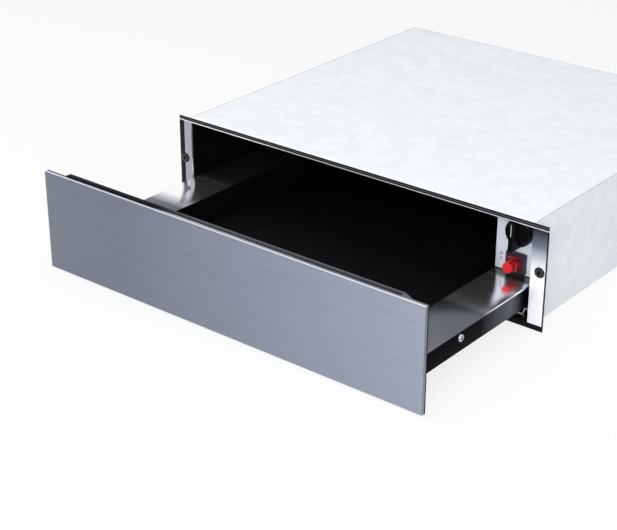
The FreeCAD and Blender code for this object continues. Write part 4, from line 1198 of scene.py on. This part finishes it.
@dataclass
class Mouth(Assembly):
    """The frame round the housing's mouth: strips, bright rail, flanges and their screws."""

    strip_edge: float = 0.3
    groove: float = 0.5
    bead_edge: float = 0.7
    lip_sheet: float = 1.2
    lip_lap: float = 0.3
    flange_sheet: float = 1.5
    bend: float = 1.2
    flange_edge: float = 0.2
    # Where the looks change: places on the part, or steps from an edge of the piece.
    plated: Pair = (-0.6, -0.4)
    groove_floor: Pair = (0.2, 0.1)
    groove_side: Pair = (0.0, 0.1)
    # Where the flange's return into the mouth starts, behind which it is painted black as shade.
    mouth_black: Pair = (0.2, 0.8)
    # Heights over which the painted reflection at the right flange's top turns blue-grey, then dark.
    blue: Pair = (82.0, 112.0)
    dark: Pair = (104.0, 131.0)
    # How far in from the outer edge the painted dark band reaches, on the left and on the right.
    left_end: Pair = (8.8, 8.5)
    right_end: Pair = (1.6, 1.3)
    # Where the painted shade on the fixing screws starts, from the front of their heads.
    screw_shade: Pair = (0.5, 1.2)

    def build(self) -> None:
        """Model the strips, the rail, the flanges and the screws."""
        self.fit(self.strip_bar("bottom_strip"), TRIM_BLACK, "black_trim", "bottom_strip")
        self.fit(self.strip_bar("top_strip"), self.grooved_trim(), "black_trim", "top_strip")
        self.fit(self.bright_rail(), BRIGHT_STEEL, "bright_steel", "top_rail")
        for name, sign in SIDES.items():
            self.fit(self.flange(name, sign), self.flange_steel(sign), "satin_steel", f"{name}_flange")
        screws = FIXING_SCREW.pair("fixing_screw_pair", "fixing_screws", "y", way=-1)
        # Painted shade darkens the screws' cross recesses and the foot of each head.
        rim = Zone("Y", *stations(span("fixing_screws")[0].y, self.screw_shade), *SCREW_SHADE)
        self.fit(screws, DARK_STEEL.over(rim), "screw_dark", "fixing_screws")

    def grooved_trim(self) -> Finish:
        """Lay out the top strip's finish.

        Returns:
            Black with a grey groove, and plated like the casing behind.
        """
        low, high = span("top_strip")
        third = (high.z - low.z) / 3
        floor = stations(low.y + self.groove, self.groove_floor, -1)
        above, below = (
            Stretch("Z", *stations(edge, self.groove_side)) for edge in (high.z - third, low.z + third)
        )
        return TRIM_BLACK.over(
            Zone("Y", *floor, *TRIM_GREY, within=below),
            Zone("Y", *floor, *TRIM_DARK, within=above),
            Zone("Y", *self.plated, *PLATED),
        )

    def flange_steel(self, sign: int) -> Finish:
        """Lay out a flange's steel.

        Args:
            sign: its side as -1 or 1.

        Returns:
            Steel with a painted dark band at its outer edge and black painted shade in the mouth, and with a
            painted blue and dark reflection at the right one's top; the left one is a darker, shaded copy of
            the steel.
        """
        # The flange's return inside the mouth is painted black: painted shade.
        inside = Zone("Y", *self.mouth_black, *CAVITY_SHADE_BLACK)
        # The painted dark band at the outer edge.
        steps = self.left_end if sign < 0 else self.right_end
        start, stop = stations(span("right_flange")[1].x, steps, -1)
        end = Zone("X", sign * start, sign * stop, *FLANGE_END)
        # The left flange takes the darker, shaded copy of the steel.
        if sign < 0:
            return FAR_FLANGE_STEEL.over(inside, end)
        # A painted reflection at the right flange's top, blue-grey and then dark.
        painted_reflection = Zone("Z", *self.blue, *FLANGE_BLUE), Zone("Z", *self.dark, *FLANGE_DARK)
        return FLANGE_STEEL.over(*painted_reflection, inside, end)

    def strip_bar(self, node: str) -> Workpiece:
        """Make a black bar across the mouth.

        Args:
            node: the strip's node; the top one has a groove.

        Returns:
            The bar, its face full width and its body between the walls.
        """
        low, high = span(node)
        inner = span("housing_right")[0].x
        face = Workpiece.block(f"{node}_bar", low, (high.x, 0.0, high.z)).soften(self.strip_edge)
        if node == "top_strip":
            third = (high.z - low.z) / 3
            near = (low.x - PAST, low.y - PAST, low.z + third)
            far = (high.x + PAST, low.y + self.groove, high.z - third)
            face.cut(Workpiece.block("groove", near, far))
        return face.fuse(Workpiece.block("bar", (-inner, 0.0, low.z), (inner, high.y, high.z)))

    def bright_rail(self) -> Workpiece:
        """Make the bright rail.

        Returns:
            A rounded bead in front of a folded shelf.
        """
        low, high = span("top_rail")
        inner = span("housing_right")[0].x
        top = span("top_strip")[0].z
        bead = Workpiece.block("bright_rail", low, (high.x, 0.0, top))
        bead.round(self.bead_edge, where("x", y=low.y), segments=3)
        shelf = Workpiece.block("shelf", (-inner, 0.0, low.z), (inner, high.y, top))
        foot = (-inner, high.y - self.lip_sheet, top - self.lip_lap)
        return bead.fuse(shelf).fuse(Workpiece.block("upright", foot, (inner, high.y, high.z)))

    def flange(self, name: str, sign: int) -> Workpiece:
        """Bend a flange beside the mouth.

        Args:
            name: its side.
            sign: its side as -1 or 1.

        Returns:
            The flange, its inner edge bent back into the housing.
        """
        low, high = span(f"{name}_flange")
        inner, outer = edges_across(f"{name}_flange", sign)
        line = [(outer, low.y, low.z), (inner, low.y, low.z), (inner, high.y, low.z)]
        flange = Workpiece.strip(f"flange_{name}", line, (0, 0, high.z - low.z))
        flange.round(self.bend, where(x=inner, y=low.y)).thicken(self.flange_sheet, inward=sign < 0)
        return flange.outward().soften(self.flange_edge).outward()


@dataclass
class ControlPanel(Assembly):
    """The control panel: its plate and marks, the knob with its pointer, and the lit switch."""

    plate_sheet: float = 1.2
    plate_bend: float = 1.4
    plate_edge: float = 0.12
    bush_hole: float = 5.1
    switch_hole: float = 12.1
    # The knob.
    disc_depth: float = 11.5
    disc_fill: float = 1.0
    disc_draft: float = 0.5
    disc_edge: float = 1.6
    foot_edge: float = 0.4
    hub_depth: float = 4.5
    socket_radius: float = 3.0
    socket_lead: float = 2.5
    grip_half: float = 4.4
    grip_taper: float = 0.84
    grip_edge: float = 1.1
    nub_half: float = 1.5
    nub_depth: float = 3.0
    nub_out: float = 1.2
    nub_edge: float = 0.4
    line_in: float = 0.42
    line_corner: float = 0.4
    line_edge: float = 0.05
    # The switch.
    bore_gap: float = 0.2
    bore_depth: float = 8.0
    bezel_corner: float = 1.6
    bezel_edge: float = 0.8
    body_gap: float = 0.1
    body_lap: float = 0.5
    body_edge: float = 0.5
    collar_foot: float = 0.84
    collar_nose: float = 0.70
    collar_corner: float = 2.2
    collar_edge: float = 0.6
    # How far behind its end, and how far inside its side, each step of the button's end lies.
    button_end: tuple[Pair, ...] = ((1.0, 0.0), (0.4, 0.25), (0.1, 0.7), (0.0, 1.3), (0.25, 2.4), (0.4, 4.0))
    button_lit: Pair = (1.4, 0.9)
    # The marks.
    mark_aside: float = 9.0
    ring_rise: float = 5.2
    ring: Pair = (1.15, 2.0)
    bar_drop: float = 1.2
    bar: Pair = (1.2, 3.4)
    print_height: float = 0.06

    def build(self) -> None:
        """Model the plate, the marks, the knob and the switch, and dress what is behind them."""
        self.fit(self.plate(), PANEL_STEEL, "panel_steel", "control_plate")
        self.fit(self.knob(), KNOB_BLACK, "knob_black", "knob", body="thermostat_knob")
        self.fit(self.pointer(), MARK_WHITE, "pointer_white", "knob_pointer", body="thermostat_knob")
        self.fit(self.bezel(), SWITCH_BLACK, "switch_black", "switch_housing")
        self.fit(self.collar(), COLLAR_RED, "switch_red", "switch_collar")
        lit = Zone("Y", *stations(span("power_button")[0].y, self.button_lit), *BUTTON_LIT)
        self.fit(self.button(), BUTTON_RED.over(lit), "switch_red", "power_button", body="switch_button")
        self.fit(self.marks(), MARK_GREY, "switch_black")
        self.dress(LAMP_GLASS, "lamp_glass", "switch_lamp")
        self.dress(CASE_BROWN, "thermostat_case", "thermostat_body")
        self.dress(ZINC_STEEL, "zinc_steel", "thermostat_shaft")
        # The control box is black above its floor's middle: painted shade inside it.
        floor = span("control_plate")[0].z + self.plate_sheet / 2
        self.dress(casing("Z", floor, True), "galvanised_steel", "control_box")

    @staticmethod
    def centre(node: str) -> Pair:
        """Where a round node's axis meets the panel."""
        low, high = span(node)
        return (low.x + high.x) / 2, (low.z + high.z) / 2

    def rod(self, node: str, wide: float, ends: Pair, sides: int = 48) -> Workpiece:
        """A round bar about a node's axis, from one station along y to another."""
        (x, z), (start, end) = self.centre(node), ends
        return Workpiece.turned("rod", pointing("y", (x, start, z)), [(0, wide), (end - start, wide)], sides)

    def post(self, half: float, ends: Pair) -> Workpiece:
        """A square bar about the switch's axis, from one station along y to another."""
        (x, z), (start, end) = self.centre("power_button"), ends
        return Workpiece.block("post", (x - half, start, z - half), (x + half, end, z + half))

    def plate(self) -> Workpiece:
        """Bend and hole the plate.

        Returns:
            The plate with its bent tab, holed for the knob's bush and the switch.
        """
        low, high = span("control_plate")
        line = [(low.x, low.y, low.z), (high.x, low.y, low.z), (high.x, high.y, low.z)]
        plate = Workpiece.strip("control_face", line, (0, 0, high.z - low.z))
        plate.round(self.plate_bend, where(x=high.x, y=low.y)).thicken(self.plate_sheet).outward()
        ends = low.y - PAST, low.y + self.plate_sheet + PAST
        plate.cut(self.rod("thermostat_shaft", self.bush_hole, ends, sides=32))
        return plate.cut(self.post(self.switch_hole, ends)).soften(self.plate_edge)

    def knob(self) -> Workpiece:
        """Make the knob.

        Returns:
            A disc with a tapered grip bar across it, a nub at its rim and a socket behind.
        """
        low, high = span("knob")
        x, z = self.centre("thermostat_shaft")
        radius = high.x - x + self.disc_fill
        back, front = high.y, high.y - self.disc_depth
        hub = self.socket_radius * 2
        outline = [(self.hub_depth, hub), (0.0, hub), (0.0, radius)]
        outline.append((self.disc_depth, radius - self.disc_draft))
        foot = Vector((x, back, z))
        disc = Workpiece.turned("knob_body", pointing("y", foot, -1), outline, sides=72)
        disc.round(self.disc_edge, where(y=front))
        disc.round(
            self.foot_edge,
            lambda spot, way: spot.y > back - TINY and (spot - foot).length > radius - PAST,
            segments=2,
        )
        half = self.grip_half
        grip = Workpiece.block("grip", (x - half, low.y, low.z), (x + half, front + SUNK, high.z))
        grip.pick(Element.FACES, where("-y")).narrow((self.grip_taper, 1.0, 1.0), (x, low.y, z))
        grip.round(self.grip_edge, lambda spot, way: abs(way.x) < MOSTLY and spot.y < front + TINY)
        start = (low.x - self.disc_fill - self.nub_out, back - self.nub_depth, z - self.nub_half)
        nub = Workpiece.block("nub", start, (x - radius + SUNK, back, z + self.nub_half))
        disc.fuse(grip).fuse(nub.soften(self.nub_edge))
        near, far = self.line()
        disc.cut(Workpiece.block("slot", (near.x, low.y - PAST, near.z), far))
        ends = front - self.socket_lead, back + PAST
        return disc.cut(self.rod("thermostat_shaft", self.socket_radius, ends, sides=32))

    def line(self) -> tuple[Vector, Vector]:
        """The pointer's corners, its sides drawn in."""
        (low, high), side = span("knob_pointer"), Vector((self.line_in, 0, 0))
        return low + side, high - side

    def pointer(self) -> Workpiece:
        """The white line let into the grip."""
        line = Workpiece.block("pointer_line", *self.line())
        return line.round(self.line_corner, where("y"), segments=3).soften(self.line_edge)

    def bore(self, start: float, end: float) -> Workpiece:
        """A cutter for the button's bore between two stations along y."""
        radius = span("power_button")[1].x - self.centre("power_button")[0] + self.bore_gap
        return self.rod("power_button", radius, (start, end))

    def bezel(self) -> Workpiece:
        """Make the switch's housing.

        Returns:
            A square bezel with its body behind the plate, bored for the button.
        """
        low, high = span("switch_housing")
        plate = span("control_plate")[0].y
        bezel = Workpiece.block("switch_bezel", low, (high.x, plate, high.z))
        bezel.round(self.bezel_corner, where("y")).round(self.bezel_edge, where(y=low.y), segments=3)
        body = self.post(self.switch_hole - self.body_gap, (plate - self.body_lap, high.y))
        bezel.fuse(body.soften(self.body_edge))
        return bezel.cut(self.bore(low.y - PAST, plate + self.bore_depth))

    def collar(self) -> Workpiece:
        """Make the red collar.

        Returns:
            A square ring that narrows and rounds off towards the button.
        """
        low, high = span("switch_collar")
        x, z = self.centre("power_button")
        collar = Workpiece.block("red_collar", low, high)
        for face, station, share in (("+y", high.y, self.collar_foot), ("-y", low.y, self.collar_nose)):
            collar.pick(Element.FACES, where(face)).narrow((share, 1.0, share), (x, station, z))
        collar.round(self.collar_corner, where("y"))
        collar.round(self.collar_edge, where(y=low.y), segments=2)
        return collar.cut(self.bore(low.y - PAST, high.y + PAST))

    def button(self) -> Workpiece:
        """Turn the round red button.

        Returns:
            The button, its end a little dished.
        """
        low, high = span("power_button")
        x, z = self.centre("power_button")
        radius = high.x - x
        end = ((behind, radius - inside) for behind, inside in self.button_end)
        outline = [(high.y - low.y, radius), *end]
        return Workpiece.turned("red_button", pointing("y", (x, low.y, z)), outline)

    def marks(self) -> Workpiece:
        """Print the marks for off and on.

        Returns:
            A ring and a bar beside the switch.
        """
        plate = span("control_plate")[0].y
        x, z = span("switch_housing")[0].x - self.mark_aside, self.centre("power_button")[1]
        inner, outer = self.ring
        film = self.print_height
        middle = Vector((x, plate, z + self.ring_rise))
        outline = [(0.0, inner), (0.0, outer), (film, outer), (film, inner)]
        ring = Workpiece.turned("panel_marks", pointing("y", middle, -1), outline, sides=32)
        ring.pick(Element.FACES, lambda spot, way: (spot - middle).length < inner).drop()
        ring.pick(Element.EDGES, lambda spot, way: (spot - middle).xz.length < inner + TINY)
        ring.edit(bpy.ops.mesh.bridge_edge_loops)
        half = Vector((self.bar[0], film, self.bar[1])) / 2
        spot = Vector((x, plate - half.y, z - self.bar_drop))
        return ring.join(Workpiece.block("bar", spot - half, spot + half))


@dataclass
class Runners(Assembly):
    """The two telescopic runners with their brackets, cages and balls."""

    bare: Pair = (0.5, 0.3)

    def build(self) -> None:
        """Dress the runners, the brackets bare at their front ends."""
        front = span("runner_bracket_left")[0].y
        bracket = ENAMEL.over(Zone("Y", *stations(front, self.bare), *BRACKET_BARE))
        for name in SIDES:
            self.dress(bracket, "black_enamel", f"runner_bracket_{name}")
            members = (f"{kind}_runner_{name}" for kind in ("fixed", "middle", "drawer"))
            self.dress(ZINC_STEEL, "zinc_steel", *members)
            self.dress(CAGE_PLASTIC, "cage_plastic", f"ball_cage_{name}")
            self.dress(BALL_STEEL, "ball_steel", f"bearing_balls_{name}")
        self.dress(ZINC_STEEL, "zinc_steel", "runner_screws")


@dataclass
class Works(Assembly):
    """What is behind the drawer: fan heater, wiring, mains entry and push latch."""

    cover_sheet: float = 1.2

    def build(self) -> None:
        """Dress the works."""
        # The fan cover is black behind its middle: painted shade.
        middle = span("fan_cover")[0].y + self.cover_sheet / 2
        for finish, slot, nodes in (
            (casing("Y", middle, True), "galvanised_steel", ["fan_cover"]),
            (MOTOR_STEEL, "motor_metal", ["fan_motor"]),
            (IMPELLER_STEEL, "impeller_metal", ["fan_impeller"]),
            (ELEMENT_STEEL, "element_steel", ["heating_element"]),
            (ZINC_STEEL, "zinc_steel", ["thermal_cutout", "latch_spring"]),
            (TERMINAL_CREAM, "terminal_plastic", ["terminal_block"]),
            (SLEEVE_GREY, "wire_sleeve", ["wiring_loom", "cable_gland"]),
            (PROBE_METAL, "probe_metal", ["temperature_probe"]),
            (CLIP_NYLON, "clip_nylon", ["wiring_clips"]),
            (LATCH_GREY, "latch_grey", ["latch_body", "latch_plunger"]),
        ):
            self.dress(finish, slot, *nodes)


@dataclass
class Housing(Assembly):
    """The casing: bare zinc outside, and black inside as painted shade."""

    def build(self) -> None:
        """Dress each sheet of the casing by which of its sides faces the oven space."""
        for node, axis, black_above in (
            ("housing_base", "Z", True),
            ("housing_top", "Z", False),
            ("housing_left", "X", True),
            ("housing_right", "X", False),
            ("housing_back", "Y", False),
        ):
            low, high = span(node)
            middle = getattr((low + high) / 2, axis.lower())
            self.dress(casing(axis, middle, black_above), "galvanised_steel", node)


@dataclass(frozen=True)
class Softbox:
    """A soft lamp, placed in metres."""

    name: str
    spot: Triple
    aim: Triple
    size: Pair
    power: float

    def hang(self) -> None:
        """Add the lamp to the scene, turned to its aim."""
        data = bpy.data.lights.new(self.name, "AREA")
        data.shape = "RECTANGLE"
        data.size, data.size_y = self.size
        data.energy = self.power
        lamp = bpy.data.objects.new(self.name, data)
        lamp.location = self.spot
        lamp.rotation_euler = (Vector(self.aim) - Vector(self.spot)).to_track_quat("-Z", "Y").to_euler()
        bpy.context.scene.collection.objects.link(lamp)


@dataclass
class Studio:
    """The pale floor, the soft light and the camera."""

    eye: Triple = (1.1301, -1.4736, 0.9075)
    heading: float = 0.6826
    dip: float = 0.4551
    lens: float = 91.37
    sensor: float = 36.0
    floor_size: float = 60.0
    floor_height: float = -0.0004
    floor_tone: Colour = (0.86, 0.86, 0.87)
    floor_glow: float = 0.8
    white: Colour = (1.0, 1.0, 1.0)
    ambient: Colour = (0.80, 0.83, 0.88)
    ambient_strength: float = 0.55
    lamps: tuple[Softbox, ...] = (
        Softbox("top_softbox", (0.1, -0.2, 2.2), (0.0, -0.05, 0.0), (2.4, 1.8), 20.0),
        Softbox("front_softbox", (1.1, -1.9, 1.0), (0.15, -0.1, 0.05), (1.3, 1.0), 34.0),
        Softbox("left_softbox", (-2.3, -0.8, 1.2), (0.0, 0.0, 0.05), (1.4, 1.4), 16.0),
    )

    def build(self) -> None:
        """Set up the studio."""
        self.camera()
        self.world()
        self.floor()
        for lamp in self.lamps:
            lamp.hang()
        bpy.context.scene.view_settings.view_transform = "Standard"

    def camera(self) -> None:
        """Set a long lens a little above and to the right of the drawer."""
        data = bpy.data.cameras.new("camera")
        data.lens = self.lens
        data.sensor_width = self.sensor
        camera = bpy.data.objects.new("camera", data)
        camera.location = self.eye
        camera.rotation_euler = (math.pi / 2 - self.dip, 0.0, self.heading)
        bpy.context.scene.collection.objects.link(camera)
        bpy.context.scene.camera = camera

    def world(self) -> None:
        """Give soft light from all round, and white wherever something looks past the object."""
        world = bpy.data.worlds.new("studio")
        bpy.context.scene.world = world
        p = Paint(world)
        dim = {"Color": (*self.ambient, 1.0), "Strength": self.ambient_strength}
        ambient = p.node("ShaderNodeBackground", inputs=dim)
        white = p.node("ShaderNodeBackground", inputs={"Color": (*self.white, 1.0)})
        p.done(p.node("ShaderNodeMixShader", inputs={0: p.backdrop(), 1: ambient, 2: white}))

    def floor(self) -> None:
        """Lay a pale floor that is nearly white to the eye and keeps the shadow."""
        deselect()
        bpy.ops.mesh.primitive_plane_add(size=self.floor_size, location=(0, 0, self.floor_height))
        floor = bpy.context.object
        floor.name = "floor"
        pale = bpy.data.materials.new("pale_floor")
        p = Paint(pale)
        matt = p.node("ShaderNodeBsdfDiffuse", inputs={"Color": (*self.floor_tone, 1.0)})
        white = p.node("ShaderNodeEmission", inputs={"Color": (*self.white, 1.0)})
        share = p.backdrop() * self.floor_glow
        p.done(p.node("ShaderNodeMixShader", inputs={0: share, 1: matt, 2: white}))
        floor.data.materials.append(pale)


def main() -> None:
    """Build the drawer's assemblies in order, then the studio."""
    logging.basicConfig(level=logging.INFO, format="%(message)s")
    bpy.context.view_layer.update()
    for assembly in (Housing(), Mouth(), DrawerFront(), Tub(), ControlPanel(), Runners(), Works(), Studio()):
        assembly.build()


if __name__ == "__main__":
    main()
